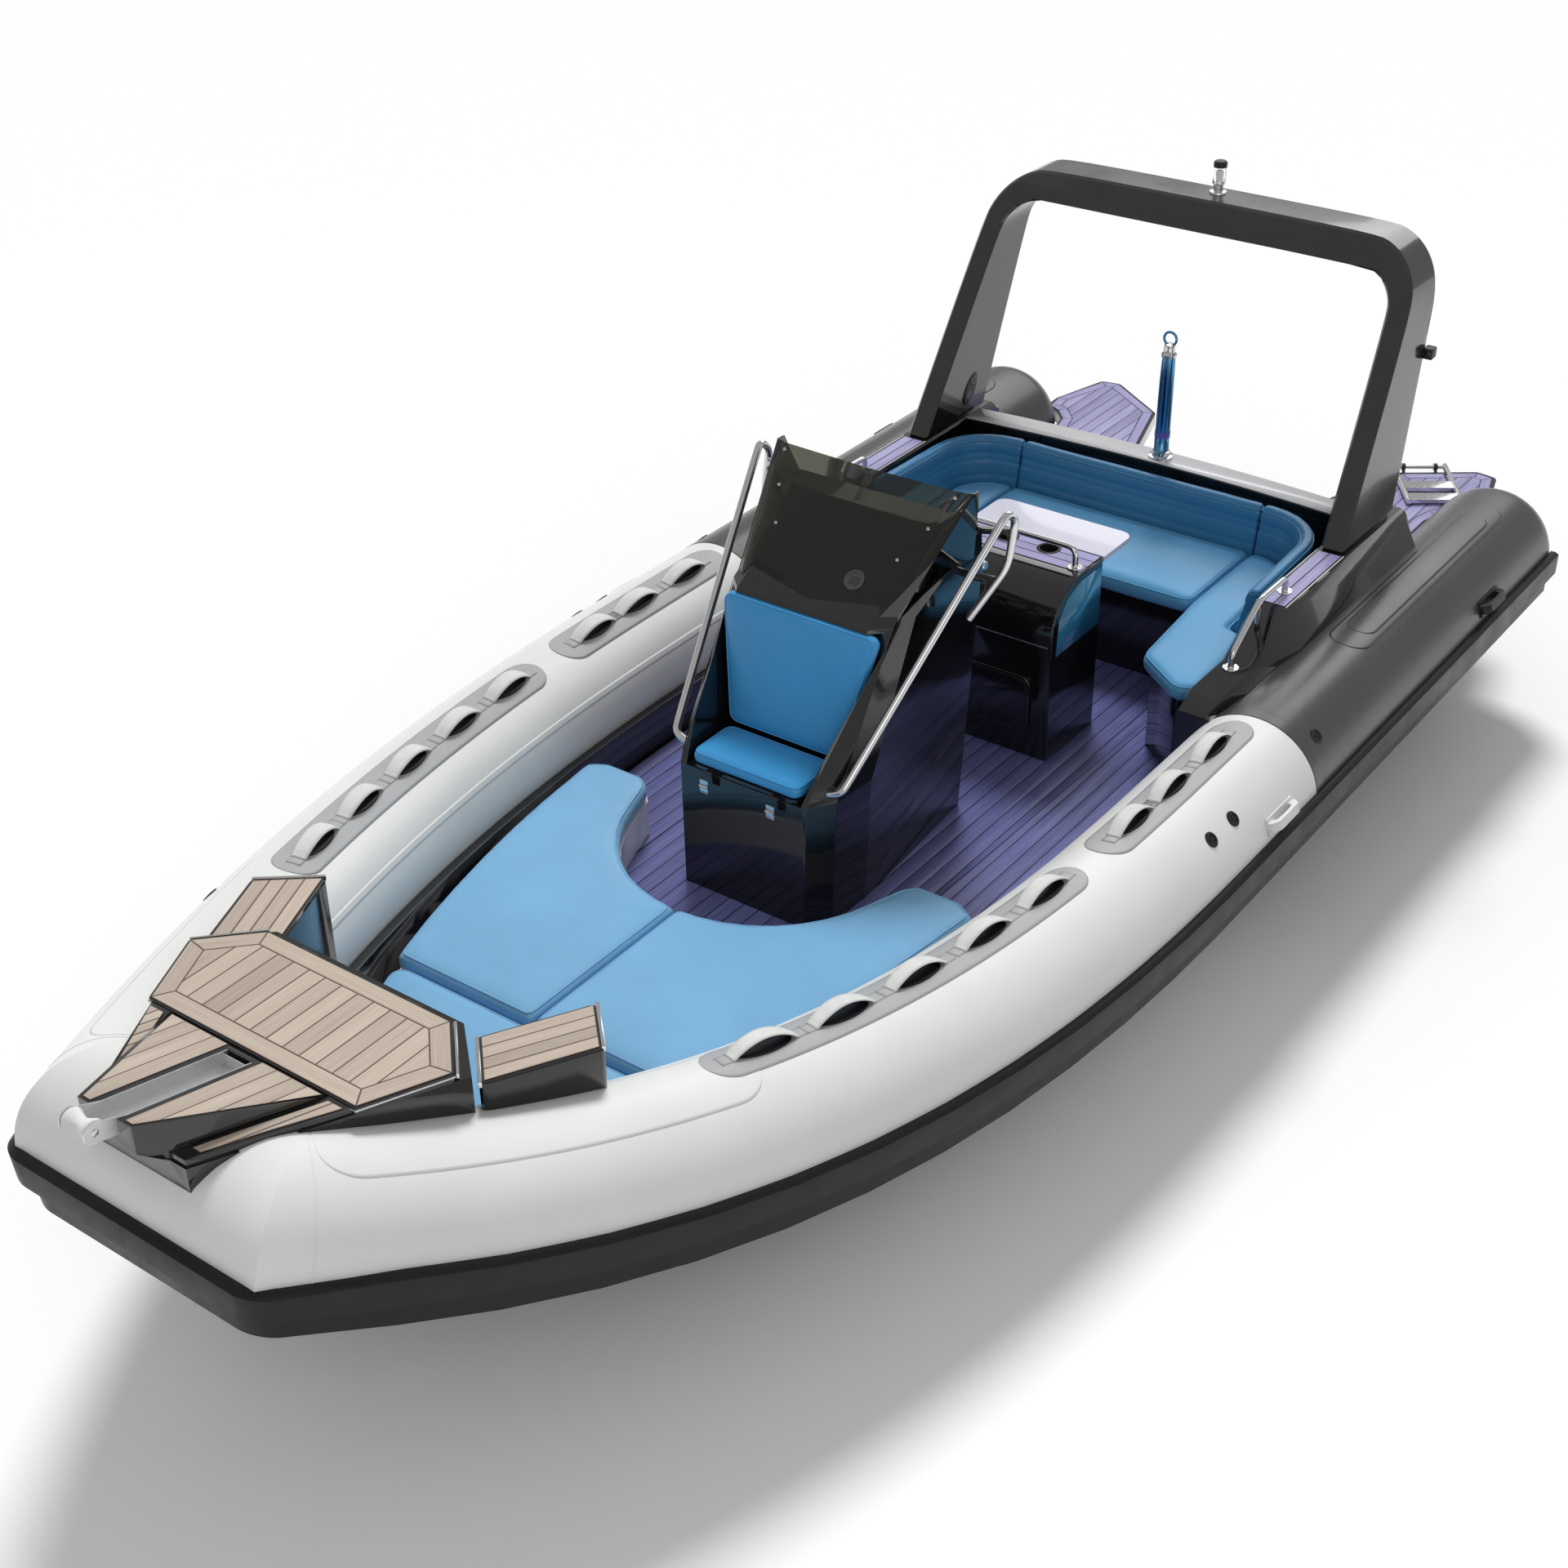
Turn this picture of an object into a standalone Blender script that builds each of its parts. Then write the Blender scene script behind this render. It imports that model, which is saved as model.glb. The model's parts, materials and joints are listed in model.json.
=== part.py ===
"""Rigid inflatable boat: a hull and deck moulding inside a ring of inflated tubes.

Metres, +Z up, +Y towards the stern, +X to port. The origin is on the resting
plane under the keel, in the middle of the length.
"""
import math

import bmesh
import bpy
from mathutils import Matrix, Vector

# Whole boat
clearance = 0.0003
overrun = 0.05
weld = 0.0001
sliver = 0.00001
pin_gap = 0.0005
small_edge = 0.003
fine_edge = 0.006
sharp_deg = 35.0
soft_deg = 40.0
blunt_deg = 60.0
joint_sides = 20
pin_sides = 12
knob_sides = 16
reach_share = 0.45
least_lean = 0.6

# Inflated tubes: a straight bow length between two mitred corners, then long sides
tube_radius = 0.254
tube_side_x = 1.180
tube_side_z = 0.648
bow_corner_x = 0.320
bow_corner_z = 0.955
bow_tube_y = -3.100
tube_straight_y = 0.200
tube_join_y = 0.640
tube_dome_y = 2.860
tube_dome_length = 0.180
plan_power = 2.57
sheer_power = 3.6
tube_sides = 24
curve_stations = 13
crowding_power = 1.12
dome_steps = 4
dome_deg = 86.0
mitre_gap = 0.0012
station_gap = 0.001
halving_steps = 40

# Rubbing strake: a tall upper stage over a narrower lower stage
strake_reach = 0.031
strake_top = 0.036
strake_step = 0.058
strake_bottom = 0.158
strake_inset = 0.033
strake_chamfer = 0.008
strake_degs = (8.0, 0.0, -15.0, -30.0, -38.0)
strake_end_run = 0.040
strake_end_y = tube_dome_y + strake_end_run

# Grab patches and their webbing loops along the tube tops
patch_thickness = 0.004
patch_degs = (79.0, 90.0, 105.0, 119.0)
loop_from_deg = 94.0
loop_to_deg = 104.0
loop_rise = 0.034
loop_thickness = 0.005
loop_half_length = 0.100
loop_root = 0.0016
loop_power = 0.7
loop_steps = 6
fore_patch_y = (-2.080, -0.520)
aft_patch_y = (-0.400, 0.590)
fore_loop_y = (-1.887, -1.604, -1.307, -1.004, -0.703)
aft_loop_y = (-0.186, 0.0725, 0.368)

# Carry handles on the outer flank of the tubes
carry_handle_fore_y = 0.360
carry_handle_aft_run = 0.630
carry_handle_aft_y = tube_dome_y - carry_handle_aft_run
carry_handle_deg = 20.0
carry_handle_length = 0.190
carry_handle_width = 0.034
carry_handle_base = 0.064
carry_handle_height = 0.042
carry_handle_bar = 0.014
carry_handle_foot = 0.036
carry_handle_chamfer = 0.012
carry_handle_shoulder = 0.019
carry_handle_crotch = 0.0085
carry_handle_sole = 0.0125
carry_handle_stations = 0.4

# Hull shell
hull_wall = 0.008
hull_cradle_degs = (191.5, 195.0, 210.0, 225.0, 240.0)
liner_seat_deg = 190.5
chine_inset = 0.165
chine_drop = 0.322
keel_bow_run = 0.200
keel_bow_y = bow_tube_y + keel_bow_run
keel_bow_z = 0.600
keel_power = 4.8
keel_flat_y = 0.200
keel_pad_half = 0.070
keel_pad_run = 0.960
transom_run = 0.080
transom_y = tube_dome_y - transom_run

# Deck liner and teak sole
liner_wall = 0.010
liner_floor_z = 0.424
sole_thickness = 0.0137
sole_fore_run = 0.840
sole_fore_y = bow_tube_y + sole_fore_run
sole_aft_run = 0.560
sole_aft_y = tube_dome_y - sole_aft_run
sole_steps = 16
sole_inset = 0.300
wall_inset = 0.286
flange_inset = 0.276
ramp_run = 0.740
ramp_y = bow_tube_y + ramp_run
bow_floor_z = 0.660
wall_room = 0.008
flange_room = 0.0048
liner_lip_deg = 188.5
liner_lip_gap = 0.0009

# Bow locker and sun pads
locker_top_z = 0.585
locker_lid = 0.045
locker_plinth_run = 0.855
locker_plinth_y = bow_tube_y + locker_plinth_run
pad_inset = 0.335
pad_thickness = 0.070
pad_crown = 0.010
front_pad_thickness = 0.046
front_pad_run = 0.720
front_pad_y = bow_tube_y + front_pad_run
pad_split_run = 1.244
pad_split_y = bow_tube_y + pad_split_run
pad_gap = 0.006
pad_lobe_y = -0.575
pad_lobe_inner_x = 0.540
pad_lobe_outer_x = 0.750
pad_lobe_back = 0.045
pad_flank_back = 0.135
pad_heart_x = 0.432
pad_hollow_y = -0.620
pad_hollow_radius = 0.515
pad_hollow_steps = 8
pad_hollow_deg = 75.0
pad_corner = 0.040
pad_flank_steps = (6, 8, 3)

# Padding: how far each ring is drawn in and how high it lies, then the crown's rings
pillow_edge_share = 0.28
pillow_side_shares = ((1.0, 0.0), (0.25, 0.10), (0.0, 0.32), (0.0, 0.60), (0.30, 0.84), (1.05, 0.97))
pillow_crown_shares = ((0.88, 0.42), (0.62, 0.84), (0.30, 1.0))

# Bow platform, hatch and steps, all laid out from the bow tube
hatch_front_run = 0.195
hatch_front_y = bow_tube_y + hatch_front_run
hatch_side_run = 0.245
hatch_side_y = hatch_front_y + hatch_side_run
hatch_aft_run = 0.402
hatch_aft_y = hatch_front_y + hatch_aft_run
hatch_front_x = 0.392
hatch_side_x = 0.505
hatch_aft_x = 0.350
hatch_thickness = 0.025
hatch_corner = 0.012
hatch_edge = 0.0042
hatch_hinge_x = 0.200
hatch_hinge_radius = 0.006
hatch_hinge_half = 0.030
hatch_pin_run = 0.0096
hatch_pin_y = hatch_aft_y + hatch_pin_run
platform_top_rise = 0.245
platform_top_z = bow_corner_z + platform_top_rise
platform_wing_rise = 0.022
platform_wing_z = platform_top_z + platform_wing_rise
platform_bottom_drop = 0.500
platform_bottom_z = platform_top_z - platform_bottom_drop
platform_front_x = 0.190
platform_front_run = 0.190
platform_front_y = bow_tube_y - platform_front_run
platform_flank_x = 0.524
platform_flank_run = 0.040
platform_flank_y = hatch_side_y + platform_flank_run
platform_aft_x = 0.358
platform_aft_run = 0.033
platform_aft_y = hatch_aft_y + platform_aft_run
platform_edge = 0.006
anchor_well_floor_drop = 0.340
anchor_well_floor_z = platform_top_z - anchor_well_floor_drop
anchor_well_x = 0.250
anchor_well_aft_run = 0.057
anchor_well_aft_y = hatch_aft_y - anchor_well_aft_run
anchor_well_fore_run = 0.065
anchor_well_fore_y = hatch_front_y + anchor_well_fore_run
nose_root_x = 0.300
nose_root_rise = 0.0005
nose_root_z = platform_wing_z + nose_root_rise
nose_tip_x = 0.100
nose_tip_run = 0.257
nose_tip_y = bow_tube_y - nose_tip_run
nose_tip_rise = 0.1155
nose_tip_z = nose_root_z + nose_tip_rise
nose_chin_rise = 0.050
nose_chin_z = platform_top_z + nose_chin_rise
slot_depth = 0.045
step_front_x = 0.372
step_front_run = 0.024
step_front_y = platform_aft_y + step_front_run
step_length = 0.360
step_width = 0.228
step_turn_deg = 25.0
step_splay_deg = 45.0
step_top_drop = 0.054
step_top_z = platform_top_z - step_top_drop
step_bottom_z = platform_bottom_z
step_fall = 0.022
step_rise = 0.018
step_corner = 0.018
step_edge = 0.006

# Anchor roller
channel_half = 0.048
channel_wall = 0.004
channel_aft_run = 0.030
channel_aft_y = hatch_front_y - channel_aft_run
channel_fore_run = 0.275
channel_fore_y = bow_tube_y - channel_fore_run
roller_run = 0.324
roller_y = bow_tube_y - roller_run
roller_rise = 0.004
roller_z = nose_tip_z + roller_rise
roller_radius = 0.035
roller_shoulder = 0.0315
roller_waist = 0.022
roller_half = 0.0425
roller_rim_half = 0.0361
roller_waist_half = 0.0085
roller_pin_radius = 0.006
cheek_radius = 0.033
cheek_web = 0.0323
cheek_run = 0.0495
cheek_sides = 24

# Console
console_level_z = (0.4483, 0.930, 1.000, 1.440, 1.600, 1.690)
console_nose_y = (-0.800, -0.790, -0.745, -0.440, -0.205, -0.100)
console_half = (0.320, 0.335, 0.338, 0.340, 0.312, 0.300)
console_aft_half = (0.265, 0.295, 0.300, 0.330, 0.335, 0.322)
console_aft_y = (0.175, 0.175, 0.175, 0.170, 0.150, 0.020)
console_plan_shares = ((0.78, 0.025), (0.95, 0.12), (1.0, 0.30))
console_wall = 0.018
console_sill = 0.072
console_seat_z = 0.925
recess_half_low = 0.236
recess_half_high = 0.330
recess_back_low_y = -0.510
recess_back_high_y = -0.394
recess_top_z = 1.428
seat_locker_half = 0.170
seat_locker_fore_y = -0.720
seat_locker_aft_y = -0.590
seat_lid_thickness = 0.014
seat_lid_fore_y = -0.762
seat_lid_aft_y = -0.565
seat_thickness = 0.046
seat_crown = 0.008
seat_half = 0.222
back_thickness = 0.050
back_crown = 0.008
back_low_half = 0.226
back_high_half = 0.316
back_foot = 0.078
back_head = 0.010
cushion_corner = 0.030
seat_hinge_x = 0.137
seat_hinge_y = -0.776
seat_hinge_radius = 0.006
seat_hinge_half = 0.018

# Windshield, wheel and throttle
screen_thickness = 0.006
screen_foot_z = 1.440
screen_foot_half = 0.318
screen_foot_fore_y = -0.400
screen_foot_aft_y = 0.125
screen_top_z = 1.796
screen_top_half = 0.392
screen_top_fore_y = -0.022
screen_top_aft_y = 0.025
screen_bow = 0.012
screen_corner = 0.050
screen_tuck = 0.0167
screen_rows = 2
wheel_y = 0.300
wheel_z = 1.260
wheel_radius = 0.175
wheel_rim = 0.014
wheel_hub_radius = 0.036
wheel_boss_radius = 0.0288
wheel_hub_depth = 0.030
wheel_shaft_radius = 0.011
wheel_shaft_length = 0.170
wheel_spoke_half = 0.010
wheel_spoke_reach = 0.170
wheel_tilt_deg = 20.0
wheel_spoke_degs = (90.0, 210.0, 330.0)
wheel_rim_steps = 32
wheel_rim_sides = 10
spoke_sides = 8
throttle_x = 0.245
throttle_y = 0.215
throttle_z = 1.270
throttle_box_half = 0.030
throttle_box_low = 0.060
throttle_box_high = 0.045
throttle_box_depth = 0.035
throttle_hub_radius = 0.030
throttle_hub_width = 0.016
throttle_arm = 0.130
throttle_arm_radius = 0.008
throttle_knob = 0.018
throttle_knob_edge = 0.0045
throttle_lean_deg = 40.0

# Console hand rails
rail_radius = 0.0145
rail_sides = 10
rail_bend = 0.050
rail_bend_steps = 4
rail_low = (0.270, -0.690, 0.955)
rail_knee = (0.345, -0.690, 0.975)
rail_top = (0.500, 0.030, 1.745)
rail_over = (0.500, 0.085, 1.700)
rail_down = (0.500, 0.050, 1.540)
rail_end = (0.405, -0.030, 1.351)
rail_stub_high = (0.500, 0.077, 1.660)
rail_stub_low = (0.475, 0.029, 1.490)
rail_stub_x = 0.300
rail_stub_y = 0.115
rail_stub_drop = 0.066

# Helm module with its table leaf
module_x = 0.085
module_half = 0.290
module_fore_y = 0.607
module_aft_y = 0.965
module_top_z = 1.158
module_roll = 0.190
module_roll_steps = 6
module_wall = 0.018
cup_offset_x = 0.090
cup_y = 0.908
cup_radius = 0.038
cup_wall = 0.006
cup_depth = 0.060
door_x = 0.135
door_half = 0.165
door_low_z = 0.550
door_high_z = 0.790
door_corner = 0.040
door_thickness = 0.014
door_lap = 0.022
door_knob_radius = 0.012
door_knob_height = 0.016
leaf_length = 0.226
leaf_thickness = 0.020
leaf_corner = 0.045
leaf_pin_radius = 0.004
leaf_pin_x = 0.200
leaf_pin_half = 0.025
module_rail_radius = 0.0125
module_rail_y = 0.830
module_rail_half = 0.245
module_rail_rise = 0.080
module_rail_bend = 0.045

# Stern bench
bench_seat_z = 0.780
bench_cushion = 0.072
bench_crown = 0.008
bench_outer_x = 0.880
bench_stern_run = 0.870
bench_stern_y = tube_dome_y - bench_stern_run
bench_front_run = 1.488
bench_front_y = tube_dome_y - bench_front_run
bench_well_x = 0.548
bench_toe_x = 0.804
bench_toe_run = 2.110
bench_toe_y = tube_dome_y - bench_toe_run
bench_toe_inner_x = 0.590
bench_toe_inner_run = 1.955
bench_toe_inner_y = tube_dome_y - bench_toe_inner_run
bench_toe_outer_run = 2.070
bench_toe_outer_y = tube_dome_y - bench_toe_outer_run
bench_foot_back = 0.030
bench_seam = 0.004
bench_corner = 0.040
bench_toe_corner = 0.080
back_line_run = 0.970
back_line_y = tube_dome_y - back_line_run
back_line_x = 0.752
back_side_x = 0.773
back_side_run = 1.590
back_side_y = tube_dome_y - back_side_run
back_line_radius = 0.170
back_line_steps = 6
back_height = 0.200
back_depth = 0.058
back_lean = 0.045
back_soft_end = 0.012
back_end_shares = (0.80, 0.94)
back_face_shares = ((0.12, 0.0), (0.0, 0.06))
back_rear_shares = ((0.0, 0.90), (0.25, 1.0), (0.75, 1.0), (1.0, 0.90), (1.0, 0.08), (0.88, 0.0))
back_seat_gap = 0.003
channel_depth = 0.006
channel_half_share = 0.035
channel_shares = (0.36, 0.68)

# Coamings, stern bulkhead and arch
coaming_inner_x = 0.8825
coaming_deck_x = 1.010
coaming_cheek_x = 1.110
coaming_toe_x = 1.035
coaming_top_z = 1.025
coaming_shelf_z = 0.890
coaming_cheek_z = 0.840
coaming_low_z = 0.640
coaming_toe_run = 2.240
coaming_toe_y = tube_dome_y - coaming_toe_run
coaming_shelf_run = 1.890
coaming_shelf_y = tube_dome_y - coaming_shelf_run
coaming_rise_run = 1.670
coaming_rise_y = tube_dome_y - coaming_rise_run
coaming_tail_run = 0.620
coaming_tail_y = tube_dome_y - coaming_tail_run
coaming_aft_run = 0.560
coaming_aft_y = tube_dome_y - coaming_aft_run
coaming_toe_drop = 0.045
coaming_toe_run = 0.090
coaming_edge = 0.008
bulkhead_side_run = 0.850
bulkhead_side_y = tube_dome_y - bulkhead_side_run
bulkhead_centre_run = 0.800
bulkhead_centre_y = tube_dome_y - bulkhead_centre_run
bulkhead_thickness = 0.130
bulkhead_top_z = 1.030
bulkhead_steps = 8
bulkhead_edge = 0.008
arch_foot_outer_x = 0.991
arch_foot_inner_x = 0.898
arch_top_outer_x = 0.934
arch_top_inner_x = 0.850
arch_top_z = 2.060
arch_beam_z = 1.945
arch_corner_outer = 0.250
arch_corner_inner = 0.150
arch_corner_steps = 5
arch_foot_fore_run = 1.135
arch_foot_fore_y = tube_dome_y - arch_foot_fore_run
arch_foot_aft_run = 0.670
arch_foot_aft_y = tube_dome_y - arch_foot_aft_run
arch_top_fore_run = 0.530
arch_top_fore_y = tube_dome_y - arch_top_fore_run
arch_top_aft_run = 0.340
arch_top_aft_y = tube_dome_y - arch_top_aft_run
arch_edge = 0.010
arch_soft_deg = 50.0
nav_run = 0.415
nav_y = tube_dome_y - nav_run
nav_radius = 0.026
nav_stem_radius = 0.018
nav_height = 0.120
nav_stem_height = 0.045
nav_cap = 0.014
nav_crown_radius = 0.0208
pole_run = 0.730
pole_y = tube_dome_y - pole_run
pole_radius = 0.031
pole_flange_radius = 0.050
pole_flange_height = 0.010
pole_flange_edge = 0.007
pole_height = 0.460
pole_neck_radius = 0.022
pole_neck_height = 0.030
pole_crown_radius = 0.0198
pole_crown_drop = 0.021
pole_ring_radius = 0.028
pole_ring_wire = 0.006
pole_ring_rise = 0.0252
pole_ring_sides = 8

# Stern rails on the coamings
stern_rail_radius = 0.0125
stern_rail_x = 0.940
stern_rail_stand = 0.060
stern_rail_head_run = 1.530
stern_rail_head_y = tube_dome_y - stern_rail_head_run
stern_rail_foot_run = 1.940
stern_rail_foot_y = tube_dome_y - stern_rail_foot_run
stern_rail_mid_run = 1.748
stern_rail_mid_y = tube_dome_y - stern_rail_mid_run
stern_rail_bend = 0.035
rail_flange_radius = 0.030
rail_flange_height = 0.006

# Swim platforms and ladder
swim_top_z = 0.686
swim_thickness = 0.060
swim_fore_run = 0.520
swim_fore_y = tube_dome_y - swim_fore_run
swim_inner_x = 0.456
swim_taper_run = 0.060
swim_taper_y = tube_dome_y - swim_taper_run
swim_chamfer_x = 0.5875
swim_chamfer_run = 0.385
swim_chamfer_y = tube_dome_y + swim_chamfer_run
swim_aft_x = 0.893
swim_aft_run = 0.601
swim_aft_y = tube_dome_y + swim_aft_run
swim_corner_x = 0.987
swim_corner_run = 0.585
swim_corner_y = tube_dome_y + swim_corner_run
swim_flank_x = 1.065
swim_flank_run = 0.285
swim_flank_y = tube_dome_y + swim_flank_run
swim_tube_gap = 0.025
swim_outer_x = 1.040
swim_rib_x = 0.860
swim_rib_half = 0.035
swim_corner = 0.030
swim_dome_deg = 88.0
ladder_x = 0.686
ladder_run = 0.451
ladder_y = tube_dome_y + ladder_run
ladder_turn_deg = 33.7
ladder_half = 0.1125
ladder_rail_radius = 0.013
ladder_length = 0.360
ladder_lift = 0.018
ladder_overhang = 0.022
ladder_tread_width = 0.070
ladder_tread_thickness = 0.018
ladder_tread_at = (0.200, 0.320)
ladder_pin_radius = 0.009
ladder_lug_at = 0.070
ladder_lug_half = 0.008
ladder_lug_radius = 0.0165
ladder_tongue_radius = 0.0072

# Finishes: colour, roughness, metallic and opacity
WHITE_FABRIC = ((0.80, 0.81, 0.79), 0.45, 0.0, 1.0)
CHARCOAL_FABRIC = ((0.060, 0.062, 0.060), 0.50, 0.0, 1.0)
GREY_FABRIC = ((0.33, 0.33, 0.34), 0.60, 0.0, 1.0)
BLACK_RUBBER = ((0.010, 0.010, 0.011), 0.45, 0.0, 1.0)
BLACK_GELCOAT = ((0.010, 0.010, 0.011), 0.25, 0.0, 1.0)
WHITE_GELCOAT = ((0.80, 0.81, 0.79), 0.35, 0.0, 1.0)
TEAK = ((0.50, 0.39, 0.29), 0.60, 0.0, 1.0)
LILAC_TEAK = ((0.30, 0.27, 0.42), 0.60, 0.0, 1.0)
PAD_VINYL = ((0.16, 0.43, 0.72), 0.60, 0.0, 1.0)
BENCH_VINYL = ((0.035, 0.20, 0.40), 0.60, 0.0, 1.0)
STAINLESS = ((0.62, 0.62, 0.64), 0.18, 1.0, 1.0)
SMOKED_ACRYLIC = ((0.035, 0.035, 0.022), 0.08, 0.0, 0.7)
CLEAR_LENS = ((0.80, 0.81, 0.79), 0.15, 0.0, 1.0)

parts = bpy.data.collections.new("rigid_inflatable_boat")
guides = bpy.data.collections.new("cutters")


def clear_scene():
    for thing in list(bpy.data.objects):
        bpy.data.objects.remove(thing, do_unlink=True)


def finish_material(name, finish):
    colour, roughness, metallic, alpha = finish
    material = bpy.data.materials.new(name)
    material.use_nodes = True
    shader = material.node_tree.nodes["Principled BSDF"]
    shader.inputs["Base Color"].default_value = (*colour, 1.0)
    shader.inputs["Roughness"].default_value = roughness
    shader.inputs["Metallic"].default_value = metallic
    shader.inputs["Alpha"].default_value = alpha
    return material


def add_object(name, mesh):
    thing = bpy.data.objects.new(name, mesh)
    guides.objects.link(thing)
    thing.hide_render = True
    thing.display_type = "WIRE"
    return thing


def as_part(thing, name, finish, pivot=None):
    """Turn a finished shape into a named sub-part with its own material."""
    guides.objects.unlink(thing)
    parts.objects.link(thing)
    thing.name = name
    thing.data.name = name
    thing.hide_render = False
    thing.display_type = "TEXTURED"
    thing.data.materials.clear()
    thing.data.materials.append(finish_material(name, finish))
    thing.data.shade_smooth()
    thing.data.set_sharp_from_angle(angle=math.radians(sharp_deg))
    if pivot is not None:
        thing.data.transform(Matrix.Translation(-Vector(pivot)))
        thing.location = pivot
    return thing


def mesh_from(bm, name):
    bm.normal_update()
    bmesh.ops.recalc_face_normals(bm, faces=bm.faces)
    mesh = bpy.data.meshes.new(name)
    bm.to_mesh(mesh)
    bm.free()
    return add_object(name, mesh)


def loft(name, rings, turned=False):
    """Skin closed rings of equal counts, with flat ends, splitting each quad the same way."""
    bm = bmesh.new()
    rows = [[bm.verts.new(point) for point in ring] for ring in rings]
    count = len(rows[0])
    for row, following in zip(rows, rows[1:]):
        for index in range(count):
            after = (index + 1) % count
            a, b, c, d = row[index], row[after], following[after], following[index]
            if turned:
                bm.faces.new((a, b, d))
                bm.faces.new((b, c, d))
            else:
                bm.faces.new((a, b, c))
                bm.faces.new((a, c, d))
    bm.faces.new(rows[0])
    bm.faces.new(rows[-1])
    return mesh_from(bm, name)


def sheet(name, rows):
    """Skin open rows of equal counts into a surface."""
    bm = bmesh.new()
    grid = [[bm.verts.new(point) for point in row] for row in rows]
    for row, following in zip(grid, grid[1:]):
        for index in range(len(row) - 1):
            corners = (row[index], row[index + 1], following[index + 1], following[index])
            bm.faces.new(corners)
    return bm


def curve_mesh(name, curve, matrix):
    """Evaluate a curve, weld its caps and keep it as a mesh in world places."""
    thing = bpy.data.objects.new(name, curve)
    guides.objects.link(thing)
    thing.matrix_world = matrix
    bpy.context.view_layer.update()
    graph = bpy.context.evaluated_depsgraph_get()
    mesh = bpy.data.meshes.new_from_object(thing.evaluated_get(graph))
    mesh.transform(matrix)
    bpy.data.objects.remove(thing, do_unlink=True)
    bpy.data.curves.remove(curve)
    bm = bmesh.new()
    bm.from_mesh(mesh)
    bpy.data.meshes.remove(mesh)
    bmesh.ops.remove_doubles(bm, verts=bm.verts, dist=weld)
    return mesh_from(bm, name)


def slab(name, outline, low, high, along="Z"):
    """Extrude a flat outline between two planes along one axis."""
    curve = bpy.data.curves.new(name, "CURVE")
    curve.dimensions = "2D"
    curve.fill_mode = "BOTH"
    curve.extrude = abs(high - low) / 2
    curve.resolution_u = 1
    spline = curve.splines.new("POLY")
    spline.points.add(len(outline) - 1)
    for place, (first, second) in zip(spline.points, outline):
        place.co = (first, second, 0, 1)
    spline.use_cyclic_u = True
    middle = (high + low) / 2
    turns = {
        "Z": Matrix.Translation((0, 0, middle)),
        "X": Matrix(((0, 0, 1, middle), (1, 0, 0, 0), (0, 1, 0, 0), (0, 0, 0, 1))),
        "Y": Matrix(((1, 0, 0, 0), (0, 0, -1, middle), (0, 1, 0, 0), (0, 0, 0, 1))),
    }
    return curve_mesh(name, curve, turns[along])


def pipe(name, points, radius, sides):
    """A round tube through points, with filled ends."""
    curve = bpy.data.curves.new(name, "CURVE")
    curve.dimensions = "3D"
    curve.bevel_depth = radius
    curve.bevel_resolution = max(0, sides // 2 - 2)
    curve.use_fill_caps = True
    spline = curve.splines.new("POLY")
    spline.points.add(len(points) - 1)
    for place, point in zip(spline.points, points):
        place.co = (*point, 1)
    return curve_mesh(name, curve, Matrix.Identity(4))


def block(name, low, high):
    bm = bmesh.new()
    size = [top - bottom for bottom, top in zip(low, high)]
    middle = [(top + bottom) / 2 for bottom, top in zip(low, high)]
    bmesh.ops.create_cube(bm, size=1.0)
    bmesh.ops.scale(bm, vec=size, verts=bm.verts)
    bmesh.ops.translate(bm, vec=middle, verts=bm.verts)
    return mesh_from(bm, name)


def rod(name, start, end, radius, sides, end_radius=None):
    """A cylinder or cone between two points."""
    start, end = Vector(start), Vector(end)
    bm = bmesh.new()
    tip = radius if end_radius is None else end_radius
    bmesh.ops.create_cone(bm, cap_ends=True, segments=sides, radius1=radius, radius2=tip,
                          depth=(end - start).length)
    turn = (end - start).to_track_quat("Z", "Y").to_matrix().to_4x4()
    bm.transform(Matrix.Translation((start + end) / 2) @ turn)
    return mesh_from(bm, name)


def torus(ring_radius, wire_radius, steps, sides, place):
    bpy.ops.mesh.primitive_torus_add(major_radius=ring_radius, minor_radius=wire_radius, major_segments=steps,
                                     minor_segments=sides)
    ring = bpy.context.active_object
    for collection in list(ring.users_collection):
        collection.objects.unlink(ring)
    guides.objects.link(ring)
    ring.data.transform(place)
    return ring


def turned(name, profile, place, turn=Matrix.Identity(4)):
    """Spin a radius and height profile, listed from top to bottom, about its axis."""
    mesh = bpy.data.meshes.new(name)
    mesh.from_pydata([(radius, 0, height) for radius, height in profile],
                     [(index, index + 1) for index in range(len(profile) - 1)], [])
    thing = add_object(name, mesh)
    screw = thing.modifiers.new("turn", "SCREW")
    screw.steps = joint_sides
    screw.render_steps = joint_sides
    screw.use_merge_vertices = True
    screw.merge_threshold = weld
    freeze(thing)
    thing.data.transform(Matrix.Translation(place) @ turn)
    bm = bmesh.new()
    bm.from_mesh(thing.data)
    bmesh.ops.remove_doubles(bm, verts=bm.verts, dist=weld)
    bm.normal_update()
    bmesh.ops.recalc_face_normals(bm, faces=bm.faces)
    bm.to_mesh(thing.data)
    bm.free()
    return thing


def freeze(thing):
    """Apply a shape's modifiers to its mesh."""
    bpy.context.view_layer.update()
    graph = bpy.context.evaluated_depsgraph_get()
    mesh = bpy.data.meshes.new_from_object(thing.evaluated_get(graph))
    thing.modifiers.clear()
    thing.data = mesh


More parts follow.
